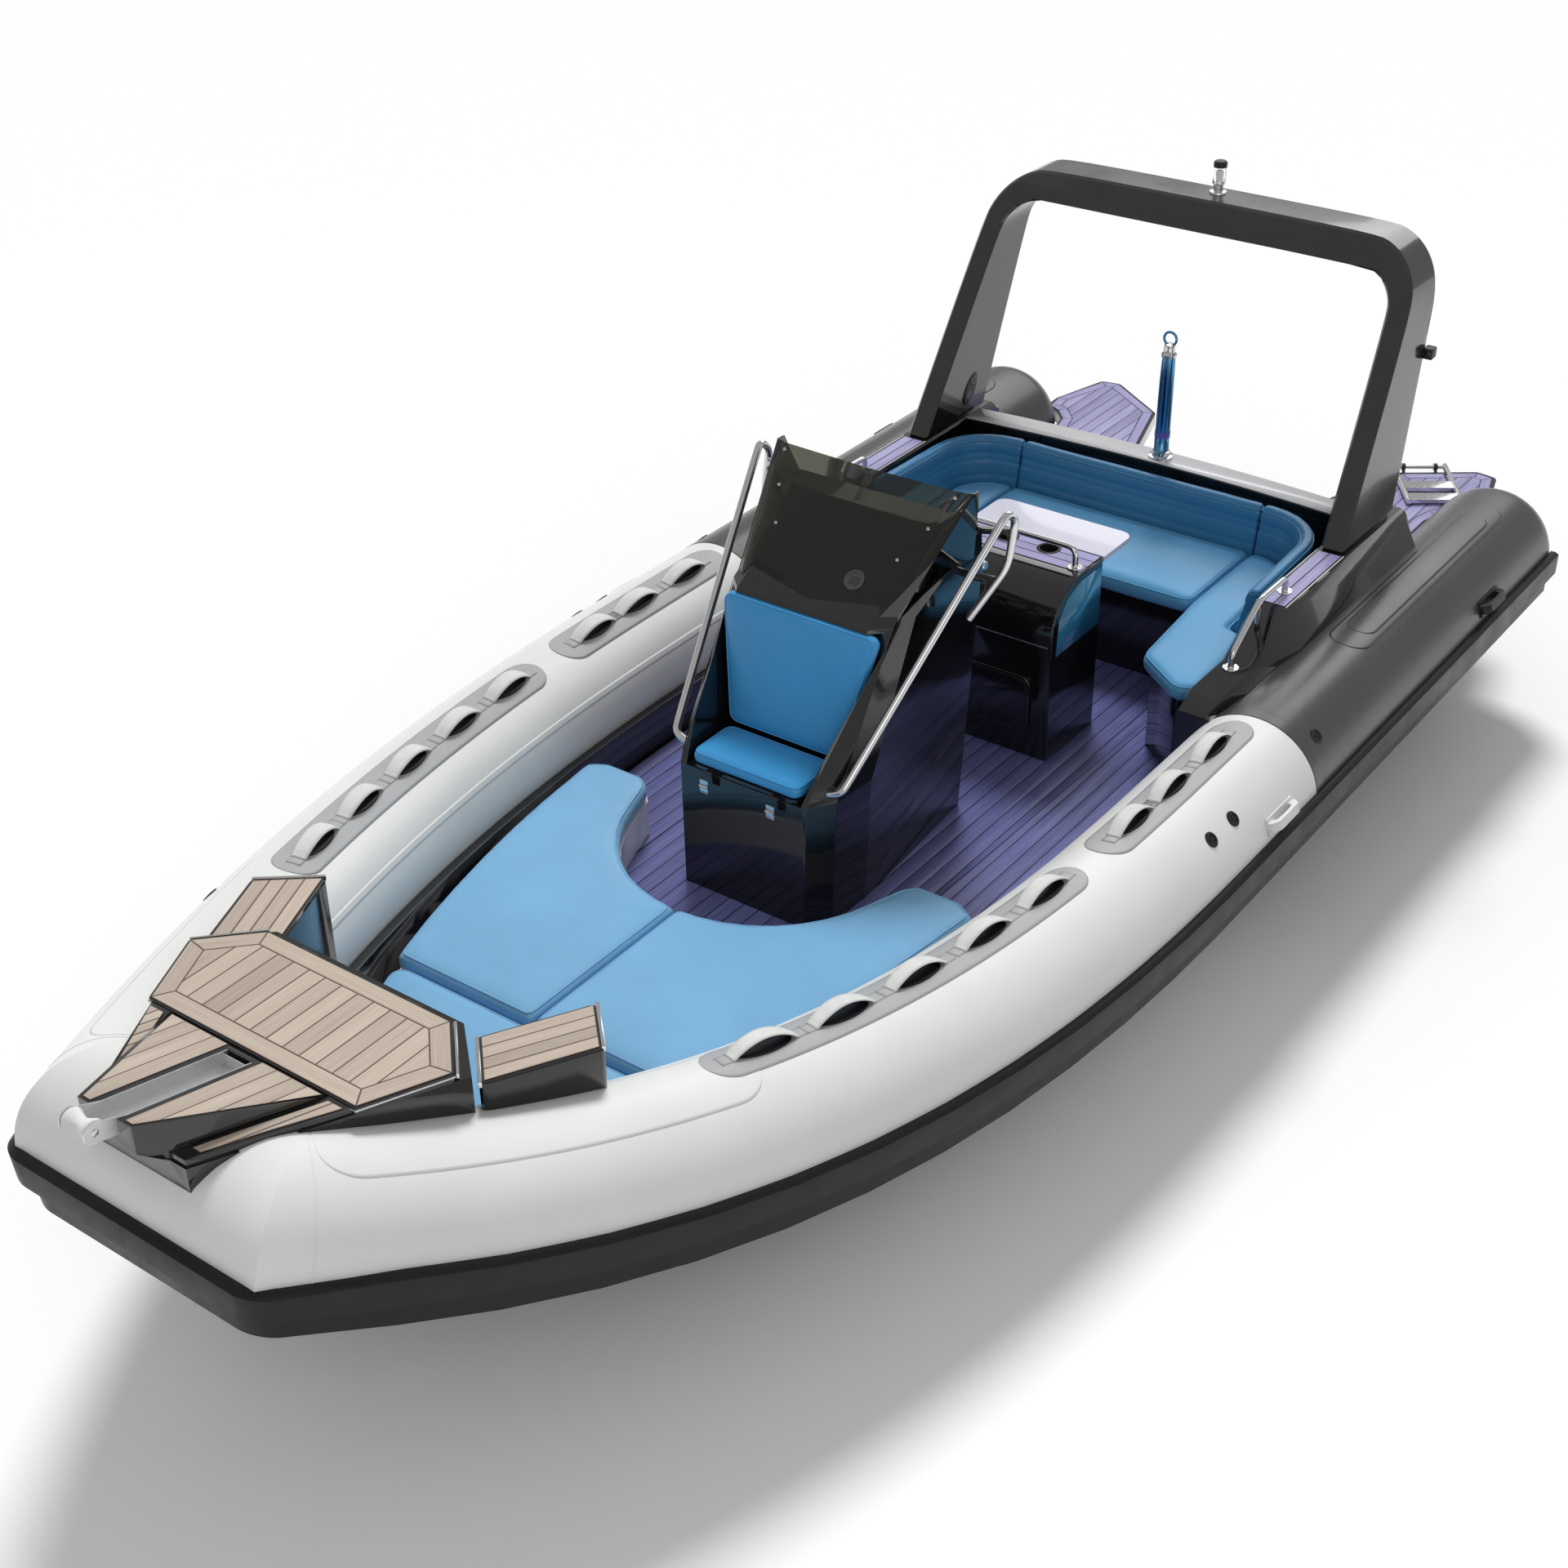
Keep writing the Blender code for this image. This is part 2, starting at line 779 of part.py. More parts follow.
def combine(thing, other, operation):
    modifier = thing.modifiers.new(operation.lower(), "BOOLEAN")
    modifier.operation = operation
    modifier.solver = "EXACT"
    modifier.object = other
    freeze(thing)
    bm = bmesh.new()
    bm.from_mesh(thing.data)
    bmesh.ops.dissolve_degenerate(bm, dist=sliver, edges=bm.edges)
    bm.to_mesh(thing.data)
    bm.free()
    return thing


def cut(thing, *cutters):
    for cutter in cutters:
        combine(thing, cutter, "DIFFERENCE")
    return thing


def unite(thing, *others):
    for other in others:
        combine(thing, other, "UNION")
    return thing


def soften(thing, width, angle_deg=soft_deg):
    """Round every crisp edge of a shape."""
    bevel = thing.modifiers.new("edges", "BEVEL")
    bevel.width = width
    bevel.segments = 1
    bevel.limit_method = "ANGLE"
    bevel.angle_limit = math.radians(angle_deg)
    freeze(thing)
    return thing


def mirrored(points, side):
    return [Vector((side * point[0], point[1], point[2])) for point in points]


def rounded(corners, radius, steps=3, draw=0.0):
    """Round an outline's corners, and draw its long sides in by a little."""
    result = []
    radii = radius if isinstance(radius, (list, tuple)) else [radius] * len(corners)
    for index, corner in enumerate(corners):
        here = Vector(corner)
        before = Vector(corners[index - 1]) - here
        after = Vector(corners[(index + 1) % len(corners)]) - here
        half = before.angle(after) / 2
        reach = min(radii[index] / math.tan(half), before.length * reach_share,
                    after.length * reach_share)
        bend = reach * math.tan(half)
        if bend < clearance:
            result.append(here)
        else:
            centre = here + (before.normalized() + after.normalized()).normalized() * bend / math.sin(half)
            start = here + before.normalized() * reach - centre
            turn = (math.pi - 2 * half) * (1 if before.cross(after) < 0 else -1)
            for step in range(steps + 1):
                spin = Matrix.Rotation(turn * step / steps, 2)
                result.append(centre + spin @ start)
        following = Vector(corners[(index + 1) % len(corners)])
        if draw:
            inward = Vector((-(following - here).y, (following - here).x)).normalized()
            result.append((here + following) / 2 + inward * draw)
    return result


def outline_turn(points):
    """Positive when an outline runs anticlockwise."""
    pairs = zip(points, points[1:] + points[:1])
    return sum(first[0] * second[1] - second[0] * first[1] for first, second in pairs)


def inset(points, distance):
    """Move an anticlockwise outline inwards by a distance."""
    result = []
    for index, here in enumerate(points):
        back = (here - points[index - 1]).normalized()
        ahead = (points[(index + 1) % len(points)] - here).normalized()
        normal = Vector((-back.y, back.x)) + Vector((-ahead.y, ahead.x))
        normal.normalize()
        lean = max(least_lean, normal.dot(Vector((-back.y, back.x))))
        result.append(here + normal * distance / lean)
    return result


def pillow(name, outline, thickness, crown, place=Matrix.Identity(4), heart=None):
    """A padded form: drawn-in foot and shoulder seams, full sides and a crowned top."""
    points = [Vector(point) for point in outline]
    if outline_turn(points) < 0:
        points.reverse()
    edge = thickness * pillow_edge_share
    rings = []
    for inset_share, height_share in pillow_side_shares:
        ring = inset(points, edge * inset_share)
        rings.append([Vector((x, y, thickness * height_share)) for x, y in ring])
    middle = Vector(heart) if heart else sum(points, Vector((0, 0))) / len(points)
    shoulder = inset(points, edge * pillow_side_shares[-1][0])
    for spread_share, crown_share in pillow_crown_shares:
        ring = [middle + (point - middle) * spread_share for point in shoulder]
        rings.append([Vector((x, y, thickness + crown * crown_share)) for x, y in ring])
    rings = [[place @ point for point in ring] for ring in rings]
    return loft(name, rings)


# Tube centreline: stations shared by every piece that follows the tubes


def side_share(y):
    return max(0.0, (tube_straight_y - y) / (tube_straight_y - bow_tube_y))


def tube_centre(y):
    share = side_share(y)
    x = tube_side_x - (tube_side_x - bow_corner_x) * share ** plan_power
    z = tube_side_z + (bow_corner_z - tube_side_z) * share ** sheer_power
    return Vector((x, y, z))


def tube_tangent(y):
    share = side_share(y)
    span = tube_straight_y - bow_tube_y
    if share == 0:
        return Vector((0, 1, 0))
    turn_x = (tube_side_x - bow_corner_x) * plan_power * share ** (plan_power - 1) / span
    turn_z = -(bow_corner_z - tube_side_z) * sheer_power * share ** (sheer_power - 1) / span
    return Vector((turn_x, 1, turn_z)).normalized()


def master_places():
    """Places of the stations from the bow corner to the end of the straight sides."""
    span = tube_straight_y - bow_tube_y
    steps = range(curve_stations + 1)
    curve = [bow_tube_y + span * (step / curve_stations) ** crowding_power for step in steps]
    return curve + [tube_join_y, (tube_join_y + tube_dome_y) / 2, tube_dome_y]


station_y = master_places()


def station_point(index, out, up):
    """A point of one station: 0 is the bow centre, 1 the bow corner, then the side."""
    if index == 0:
        return Vector((0, bow_tube_y - out, bow_corner_z + up))
    y = station_y[index - 1]
    centre = tube_centre(y)
    tangent = tube_tangent(y)
    if index == 1:
        mitre = (Vector((1, 0, 0)) + tangent).normalized()
        local = Vector((0, -out, up))
        return centre + local - Vector((1, 0, 0)) * local.dot(mitre) / mitre.x
    outward = Vector((tangent.y, -tangent.x, 0)).normalized()
    return centre + outward * out + outward.cross(tangent) * up


def path_point(place, out, up):
    """A point at a fractional station, on the straight line between two stations."""
    index = min(int(place), len(station_y) - 1)
    share = place - index
    start = station_point(index, out, up)
    if share == 0:
        return start
    return start.lerp(station_point(index + 1, out, up), share)


def place_at(y):
    """The fractional station where the tube centre reaches a y."""
    for index in range(len(station_y) - 1):
        low, high = station_y[index], station_y[index + 1]
        if low <= y <= high:
            return index + 1 + (y - low) / (high - low)
    return float(len(station_y))


def places_between(start, end):
    inner = [index for index in range(1, len(station_y) + 1) if start + station_gap < index < end - station_gap]
    return [start] + inner + [end]


facet = math.pi / tube_sides


def polar(angle_deg, offset):
    """Out and up of a point a given distance outside the faceted tube."""
    angle = math.radians(angle_deg)
    local = (angle % (2 * facet)) - facet
    reach = (tube_radius * math.cos(facet) + offset) / math.cos(local)
    return reach * math.cos(angle), reach * math.sin(angle)


def tube_angles():
    return [360.0 * index / tube_sides for index in range(tube_sides)]


def ring_at(place, section, side=1):
    return mirrored([path_point(place, out, up) for out, up in section], side)


def inboard_x(y, inward):
    """How far out a line set inboard of the tube centre lies at a y."""
    low, high = 1.0, float(len(station_y))
    for _ in range(halving_steps):
        middle = (low + high) / 2
        if path_point(middle, -inward, 0).y < y:
            low = middle
        else:
            high = middle
    return path_point((low + high) / 2, -inward, 0).x


def tube_section(offset=0.0):
    return [polar(angle, offset) for angle in tube_angles()]


def tube_cutter(name, side, start, end):
    """The tube grown by the fitting clearance, for pieces that sit on it."""
    section = tube_section(clearance)
    return loft(name, [ring_at(place, section, side) for place in places_between(start, end)])


def bow_cutter(name):
    """Both fore tubes and the bow length between them, grown as one piece."""
    section = tube_section(clearance)
    places = places_between(1.0, place_at(tube_straight_y))
    rings = [ring_at(place, section, -1) for place in reversed(places)]
    return loft(name, rings + [ring_at(place, section, 1) for place in places])


def make_tubes():
    section = tube_section()
    bow = loft("bow", [ring_at(1, section, -1), ring_at(1, section, 1)])
    as_part(bow, "tube_bow", WHITE_FABRIC)
    join = place_at(tube_join_y)
    first = (station_point(2, 0, 0) - station_point(1, 0, 0)).length
    for side, word in ((1, "port"), (-1, "starboard")):
        places = places_between(1 + mitre_gap / first, join)
        fore = loft("fore", [ring_at(place, section, side) for place in places])
        as_part(fore, f"tube_{word}_fore", WHITE_FABRIC)
        last = float(len(station_y))
        span = station_y[-1] - station_y[-2]
        places = places_between(join, last)
        rings = [ring_at(place, section, side) for place in places]
        for point in rings[0]:
            point.y += clearance
        for step in range(1, dome_steps + 1):
            bend = math.radians(dome_deg) * step / dome_steps
            ring = ring_at(last, [(out * math.cos(bend), up * math.cos(bend)) for out, up in section], side)
            for point in ring:
                point.y += tube_dome_length * math.sin(bend)
            rings.append(ring)
        aft = loft("aft", rings)
        as_part(aft, f"tube_{word}_aft", CHARCOAL_FABRIC)


def make_strakes():
    upper = tube_radius + strake_reach
    lower = upper - strake_inset
    inner = [polar(angle, clearance) for angle in strake_degs]
    outer = [(lower - 2 * strake_chamfer, -strake_bottom), (lower, -strake_bottom + strake_chamfer),
             (lower, -strake_step - strake_chamfer), (upper - strake_chamfer, -strake_step - strake_chamfer),
             (upper, -strake_step), (upper, strake_top - strake_chamfer),
             (upper - 2 * strake_chamfer, strake_top)]
    section = inner + outer
    end = float(len(station_y))
    for side, word in ((1, "port"), (-1, "starboard")):
        rings = [ring_at(place, section, side) for place in places_between(clearance / bow_corner_x, end)]
        tail = [Vector((point.x, point.y + strake_end_y - tube_dome_y, point.z)) for point in rings[-1]]
        strake = loft("strake", rings + [tail], turned=True)
        as_part(strake, f"strake_{word}", BLACK_RUBBER)


def make_patch(name, side, span_y, loop_places):
    start, end = place_at(span_y[0]), place_at(span_y[1])
    under = [polar(angle, clearance) for angle in patch_degs]
    over = [polar(angle, clearance + patch_thickness) for angle in reversed(patch_degs)]
    patch = loft("patch", [ring_at(place, under + over, side) for place in places_between(start, end)])
    loops = []
    for middle in loop_places:
        rings = []
        for step in range(loop_steps + 1):
            share = step / loop_steps
            y = middle + (2 * share - 1) * loop_half_length
            rise = loop_rise * math.sin(math.pi * share) ** loop_power if 0 < share < 1 else 0
            low = clearance + loop_root + rise
            section = [polar(loop_from_deg, low), polar(loop_to_deg, low),
                       polar(loop_to_deg, low + loop_thickness), polar(loop_from_deg, low + loop_thickness)]
            rings.append(ring_at(place_at(y), section, side))
        loops.append(loft("loop", rings))
    unite(patch, *loops)
    as_part(patch, name, GREY_FABRIC)


def make_carry_handle(name, side, y, finish):
    """A rigid D handle with a finger gap, its foot shaped to the tube."""
    place = place_at(y)
    centre = path_point(place, 0, 0)
    out, up = polar(carry_handle_deg, 0)
    skin = path_point(place, out, up)
    radial = (skin - centre).normalized()
    ahead = Vector((0, 1, 0))
    across = radial.cross(ahead)
    half = carry_handle_length / 2
    top = carry_handle_height
    gap_half = half - carry_handle_foot
    crotch = top - carry_handle_bar - carry_handle_crotch
    right = [(half - carry_handle_chamfer * 2, top), (half, carry_handle_shoulder), (half, -carry_handle_sole),
             (gap_half, -carry_handle_sole), (gap_half, crotch),
             (gap_half - carry_handle_chamfer, top - carry_handle_bar)]
    profile = right + [(-x, y) for x, y in reversed(right)]
    base = [(-half, 0), (half, 0), (half, carry_handle_bar / 2), (-half, carry_handle_bar / 2)]
    frame = Matrix.Identity(4)
    frame.col[0][:3] = ahead
    frame.col[1][:3] = radial
    frame.col[2][:3] = ahead.cross(radial)
    frame.col[3][:3] = skin
    handle = slab("handle", profile, -carry_handle_width / 2, carry_handle_width / 2)
    foot = slab("foot", base, -carry_handle_base / 2, carry_handle_base / 2)
    handle.data.transform(frame)
    foot.data.transform(frame)
    unite(handle, foot)
    if side < 0:
        handle.data.transform(Matrix.Diagonal((-1, 1, 1, 1)))
        handle.data.flip_normals()
    last = min(place + carry_handle_stations, float(len(station_y)))
    cut(handle, tube_cutter("tube", side, place - carry_handle_stations, last))
    as_part(handle, name, finish)


def hull_rows(grow):
    """Half sections of a hull skin, from the tube cradle down to the keel pad."""
    total = len(station_y)
    stern_y = transom_y - grow
    stern = place_at(stern_y)
    centres = [station_point(index, 0, 0) for index in range(total + 1)]
    length = sum((after - before).length for before, after in zip(centres, centres[1:]))
    length -= tube_dome_y - stern_y
    rows = []
    walked = 0.0
    previous = path_point(0.0, 0, 0)
    for place in [float(index) for index in range(int(stern) + 1)] + [stern]:
        centre = path_point(place, 0, 0)
        walked += (centre - previous).length
        previous = centre
        keel_y = keel_bow_y + grow + (stern_y - keel_bow_y - grow) * min(1.0, walked / length)
        lift = max(0.0, (keel_flat_y - keel_y) / (keel_flat_y - keel_bow_y))
        keel_z = keel_bow_z * lift ** keel_power + grow
        row = [path_point(place, *polar(angle, clearance + grow)) for angle in hull_cradle_degs]
        chine = path_point(place, -chine_inset - grow, 0)
        chine.z = centre.z - chine_drop + grow
        pad = keel_pad_half * min(1.0, walked / keel_pad_run)
        row += [chine, Vector((pad, keel_y, keel_z)), Vector((0, keel_y, keel_z))]
        if place == 0:
            for point in row:
                point.x = 0
        if place == stern:
            for point in row:
                point.y = stern_y
        rows.append(row)
    return rows


def skin_grid(bm, grid):
    """Fill a grid of rows with triangles, leaving out those that have shrunk to a line."""
    for row, following in zip(grid, grid[1:]):
        for index in range(len(row) - 1):
            a, b, c, d = row[index], row[index + 1], following[index + 1], following[index]
            if (a.co - b.co).length > clearance:
                bm.faces.new((a, b, c))
            bm.faces.new((a, c, d))


def close_half_shell(bm, name):
    """Mirror a half shell open only along the centre plane."""
    bmesh.ops.remove_doubles(bm, verts=bm.verts, dist=weld)
    bmesh.ops.mirror(bm, geom=bm.verts[:] + bm.edges[:] + bm.faces[:], axis="X", merge_dist=weld)
    return mesh_from(bm, name)


def make_hull():
    bm = bmesh.new()
    rims = []
    for grow in (0.0, hull_wall):
        grid = [[bm.verts.new(point) for point in row] for row in hull_rows(grow)]
        skin_grid(bm, grid)
        last = grid[-1]
        top = bm.verts.new((0, last[0].co.y, last[0].co.z))
        bm.faces.new(last + [top])
        rims.append([row[0] for row in grid] + [top])
    for index in range(len(rims[0]) - 1):
        bm.faces.new((rims[0][index], rims[0][index + 1], rims[1][index + 1], rims[1][index]))
    as_part(close_half_shell(bm, "hull"), "hull", BLACK_GELCOAT)


def path_x_rows(inward, start_y, end_y, count):
    """Outline points set inboard of the tubes, evenly spread between two places along the boat."""
    ys = [start_y + (end_y - start_y) * step / count for step in range(count + 1)]
    return [(inboard_x(y, inward), y) for y in ys]


def whole(points):
    """Close a half outline, listed from one centreline end to the other, with its mirror image."""
    return points + [(-x, y) for x, y in reversed(points)]


def deck_level():
    """Where the pieces that stand on the sole begin."""
    return liner_floor_z + liner_wall + sole_thickness + 2 * clearance


def floor_z(y):
    lift = max(0.0, (ramp_y - y) / (ramp_y - bow_tube_y - wall_inset))
    return liner_floor_z + (bow_floor_z - liner_floor_z) * min(1.0, lift)


def make_liner():
    """Side walls hung from a flange on the hull edge, and the floor between them."""
    stern = place_at(transom_y - 2 * hull_wall)
    seat = polar(liner_seat_deg, clearance)[1] + clearance
    lip = -polar(liner_lip_deg, liner_lip_gap)[0]
    under, over = [], []
    for place in [float(index) for index in range(int(stern) + 1)] + [stern]:
        for rows, grow in ((under, 0.0), (over, liner_wall)):
            foot = path_point(place, -wall_inset - grow, 0)
            foot.z = floor_z(foot.y) + grow
            rows.append([path_point(place, -lip, seat + grow),
                         path_point(place, -flange_inset - grow, seat + grow),
                         foot, Vector((0, foot.y, foot.z))])
    bm = bmesh.new()
    grids = [[[bm.verts.new(point) for point in row] for row in rows] for rows in (under, over)]
    for grid in grids:
        skin_grid(bm, grid)
    rims = [[row[0] for row in grid] for grid in grids]
    for index in range(len(rims[0]) - 1):
        bm.faces.new((rims[0][index], rims[0][index + 1], rims[1][index + 1], rims[1][index]))
    bm.faces.new(grids[0][-1] + list(reversed(grids[1][-1])))
    liner = close_half_shell(bm, "liner")
    as_part(liner, "deck_liner", WHITE_GELCOAT)
    top = liner_floor_z + liner_wall + clearance
    outline = whole(path_x_rows(sole_inset, sole_fore_y, sole_aft_y, sole_steps))
    as_part(slab("sole", outline, top, top + sole_thickness), "deck_sole", LILAC_TEAK)


def cradle_cutter(name):
    """The room taken by the liner wall right round the bow and everything outboard of that wall."""
    reach = wall_inset + liner_wall + wall_room
    top = polar(liner_seat_deg, clearance)[1] + liner_wall + flange_room
    places = places_between(1.0, place_at(tube_straight_y))
    rings = []
    for side, order in ((-1, list(reversed(places))), (1, places)):
        for place in order:
            outer, inner = path_point(place, tube_radius, 0), path_point(place, -reach, 0)
            lip = path_point(place, -tube_radius * math.cos(facet), 0)
            high = path_point(place, -reach, top).z
            ring = [Vector((outer.x, outer.y, liner_floor_z)), Vector((outer.x, outer.y, high)),
                    Vector((lip.x, lip.y, high)), Vector((inner.x, inner.y, high)),
                    Vector((inner.x, inner.y, liner_floor_z))]
            rings.append(mirrored(ring, side))
    return loft(name, rings)


def pad_edge(inward):
    """Half outline of the sun pads' after end: hollow in the middle, a lobe on each side."""
    points = []
    for step in range(pad_hollow_steps + 1):
        turn = math.radians(pad_hollow_deg) * step / pad_hollow_steps
        points.append((pad_hollow_radius * math.sin(turn),
                       pad_hollow_y - pad_hollow_radius * math.cos(turn)))
    points += [(pad_lobe_inner_x, pad_lobe_y - pad_lobe_back), (pad_lobe_inner_x + pad_lobe_back, pad_lobe_y),
               (pad_lobe_outer_x, pad_lobe_y), (inboard_x(pad_lobe_y, inward), pad_lobe_y - pad_lobe_back)]
    return points


def make_bow_lounge():
    after = pad_edge(pad_inset)
    flank_y = pad_lobe_y - pad_flank_back
    flank = path_x_rows(pad_inset, flank_y, pad_split_y, pad_flank_steps[0])
    plinth_flank = path_x_rows(pad_inset, flank_y, locker_plinth_y, pad_flank_steps[1])
    plinth = slab("plinth", whole(after + plinth_flank), deck_level(), locker_top_z - locker_lid / 2)
    lid_flank = path_x_rows(pad_inset, flank_y, front_pad_y, pad_flank_steps[1])
    lid = slab("lid", whole(after + lid_flank), locker_top_z - locker_lid, locker_top_z)
    unite(plinth, lid)
    as_part(plinth, "bow_locker", WHITE_GELCOAT)
    base = locker_top_z + clearance
    place = Matrix.Translation((0, 0, base))
    half = after[1:] + flank[:-1]
    half += [(inboard_x(pad_split_y, pad_inset), pad_split_y), (pad_gap / 2, pad_split_y),
             (pad_gap / 2, pad_hollow_y - pad_hollow_radius)]
    heart_y = (pad_split_y + pad_hollow_y - pad_hollow_radius) / 2
    for side, word in ((1, "port"), (-1, "starboard")):
        outline = [(side * x, y) for x, y in half]
        heart = (side * pad_heart_x, heart_y)
        pad = pillow("pad", outline, pad_thickness, pad_crown, place, heart)
        as_part(pad, f"bow_cushion_{word}", PAD_VINYL)
    front = path_x_rows(pad_inset, pad_split_y - pad_gap, front_pad_y, pad_flank_steps[2])
    outline = rounded(whole(front), pad_corner, 2)
    pad = pillow("pad", outline, front_pad_thickness, pad_crown, place)
    as_part(pad, "bow_cushion_front", PAD_VINYL)


def nose_frame():
    """A frame lying on the sloping top of the nose, its Y axis running forward along it."""
    slope = math.atan2(nose_tip_z - nose_root_z, hatch_front_y - nose_tip_y)
    turn = Matrix.Rotation(math.pi, 4, "Z") @ Matrix.Rotation(slope, 4, "X")
    return Matrix.Translation((0, hatch_front_y, nose_root_z)) @ turn


def make_bow_platform():
    half = [(platform_front_x, platform_front_y), (platform_flank_x, platform_flank_y),
            (platform_aft_x, platform_aft_y)]
    body = slab("platform", whole(half), platform_bottom_z, platform_top_z)
    seam_y = hatch_front_y - clearance
    share = (seam_y - platform_front_y) / (platform_flank_y - platform_front_y)
    seam_x = platform_front_x + (platform_flank_x - platform_front_x) * share
    wing = slab("wing", whole([(platform_front_x - platform_edge, platform_front_y + platform_edge),
                               (seam_x - platform_edge, seam_y)]),
                platform_top_z - platform_edge, platform_wing_z)
    chin_y = platform_front_y + 2 * platform_edge
    middle_share = (chin_y - hatch_front_y) / (nose_tip_y - hatch_front_y)
    middle_x = nose_root_x + (nose_tip_x - nose_root_x) * middle_share
    middle_z = nose_root_z + (nose_tip_z - nose_root_z) * middle_share
    low = platform_top_z - 2 * platform_edge
    rings = []
    for x, y, foot, head in ((nose_root_x, seam_y - clearance, low, nose_root_z),
                             (middle_x, chin_y, low, middle_z),
                             (nose_tip_x, nose_tip_y, nose_chin_z, nose_tip_z)):
        rings.append([(-x, y, foot), (x, y, foot), (x, y, head), (-x, y, head)])
    nose = loft("nose", rings)
    unite(body, wing, nose)
    channel_reach = (hatch_front_y - channel_fore_y) * 2
    slot = block("slot", (-channel_half - clearance, hatch_front_y - channel_aft_y, -slot_depth - clearance),
                 (channel_half + clearance, channel_reach, overrun))
    slot.data.transform(nose_frame())
    cut(body, slot)
    well = block("well", (-anchor_well_x, anchor_well_fore_y, anchor_well_floor_z),
                 (anchor_well_x, anchor_well_aft_y, platform_top_z + overrun))
    cut(body, well, bow_cutter("tubes"), cradle_cutter("wall"))
    as_part(body, "bow_platform", BLACK_GELCOAT)
    low = platform_top_z + clearance
    half = [(hatch_aft_x, hatch_aft_y), (hatch_side_x, hatch_side_y), (hatch_front_x, hatch_front_y)]
    outline = rounded([Vector(point) for point in whole(half)], hatch_corner, 2)
    hatch = slab("hatch", outline, low, low + hatch_thickness)
    soften(hatch, hatch_edge)
    pin_y = hatch_pin_y
    pin_z = low + hatch_hinge_radius
    for side in (-1, 1):
        middle = side * hatch_hinge_x
        pin = rod("pin", (middle - hatch_hinge_half, pin_y, pin_z), (middle + hatch_hinge_half, pin_y, pin_z),
                  hatch_hinge_radius, pin_sides)
        leaf = block("leaf", (middle - hatch_hinge_half, hatch_aft_y - hatch_hinge_radius, low),
                     (middle + hatch_hinge_half, pin_y, pin_z))
        unite(hatch, pin, leaf)
    as_part(hatch, "anchor_hatch", TEAK, pivot=(0, pin_y, pin_z))


def make_bow_steps():
    along = Vector((math.sin(math.radians(step_turn_deg)), math.cos(math.radians(step_turn_deg))))
    across = Vector((math.sin(math.radians(step_splay_deg)), -math.cos(math.radians(step_splay_deg))))
    start = Vector((step_front_x, step_front_y))
    corners = [start, start + across * step_width, start + across * step_width + along * step_length,
               start + along * step_length]
    outline = rounded(corners, step_corner, 2)
    pitch = Matrix(((along.x, across.x), (along.y, across.y))).inverted()
    for side, word in ((1, "port"), (-1, "starboard")):
        low = [(x, y, step_bottom_z) for x, y in outline]
        high = []
        for point in outline:
            run, reach = pitch @ (point - start)
            lift = step_rise * reach / step_width - step_fall * run / step_length
            high.append((point.x, point.y, step_top_z + lift))
        step = loft("step", [mirrored(low, side), mirrored(high, side)])
        soften(step, step_edge, blunt_deg)
        cut(step, bow_cutter("tubes"), cradle_cutter("wall"))
        as_part(step, f"bow_step_{word}", BLACK_GELCOAT)


def make_roller():
    frame = nose_frame()
    start = hatch_front_y - channel_aft_y + clearance
    slope = math.atan2(nose_tip_z - nose_root_z, hatch_front_y - nose_tip_y)
    end = (hatch_front_y - channel_fore_y) / math.cos(slope)
    channel = block("channel", (-channel_half, start, -slot_depth), (channel_half, end, 0))
    bore = block("bore", (-channel_half + channel_wall, start - overrun, -slot_depth + channel_wall),
                 (channel_half - channel_wall, end + overrun, overrun))
    cut(channel, bore)
    channel.data.transform(frame)
    centre = Vector((0, roller_y, roller_z))
    for side in (-1, 1):
        outer, inner = side * channel_half, side * (channel_half - channel_wall)
        cheek = rod("cheek", (inner, roller_y, roller_z), (outer, roller_y, roller_z), cheek_radius,
                    cheek_sides)
        web_low = frame @ Vector((0, end - cheek_run, -slot_depth))
        web_high = frame @ Vector((0, end - cheek_run, 0))
        outline = [(web_low.y, web_low.z), (web_high.y, web_high.z), (roller_y, roller_z + cheek_web),
                   (roller_y, roller_z - cheek_web)]
        web = slab("web", outline, min(inner, outer), max(inner, outer), "X")
        unite(channel, cheek, web)
    half = channel_half - channel_wall / 2
    pin = rod("pin", (-half, roller_y, roller_z), (half, roller_y, roller_z), roller_pin_radius, knob_sides)
    unite(channel, pin)
    as_part(channel, "roller_channel", STAINLESS)
    bore_radius = roller_pin_radius + pin_gap
    upper = [(bore_radius, roller_half), (roller_shoulder, roller_half), (roller_radius, roller_rim_half),
             (roller_waist, roller_waist_half)]
    profile = upper + [(radius, -height) for radius, height in reversed(upper)] + upper[:1]
    roller = turned("roller", profile, centre, Matrix.Rotation(math.pi / 2, 4, "Y"))
    as_part(roller, "bow_roller", WHITE_GELCOAT, pivot=tuple(centre))


def console_rings(grow=0.0, top=None):
    """Plan rings of the console, grown or shrunk, from the deck to a top level."""
    rings = []
    for level, z in enumerate(console_level_z[:top]):
        nose, aft = console_nose_y[level] - grow, console_aft_y[level] + grow
        wide, rear = console_half[level] + grow, console_aft_half[level] + grow
        half = [(wide * x_share, nose + (aft - nose) * y_share) for x_share, y_share in console_plan_shares]
        half.append((rear, aft))
        rings.append([(x, y, z) for x, y in whole(half)])
    return rings


def console_solid(name, grow):
    rings = console_rings(grow)
    rings[0] = [(x, y, z - abs(grow)) for x, y, z in rings[0]]
    rings[-1] = [(x, y, z + grow) for x, y, z in rings[-1]]
    return loft(name, rings)


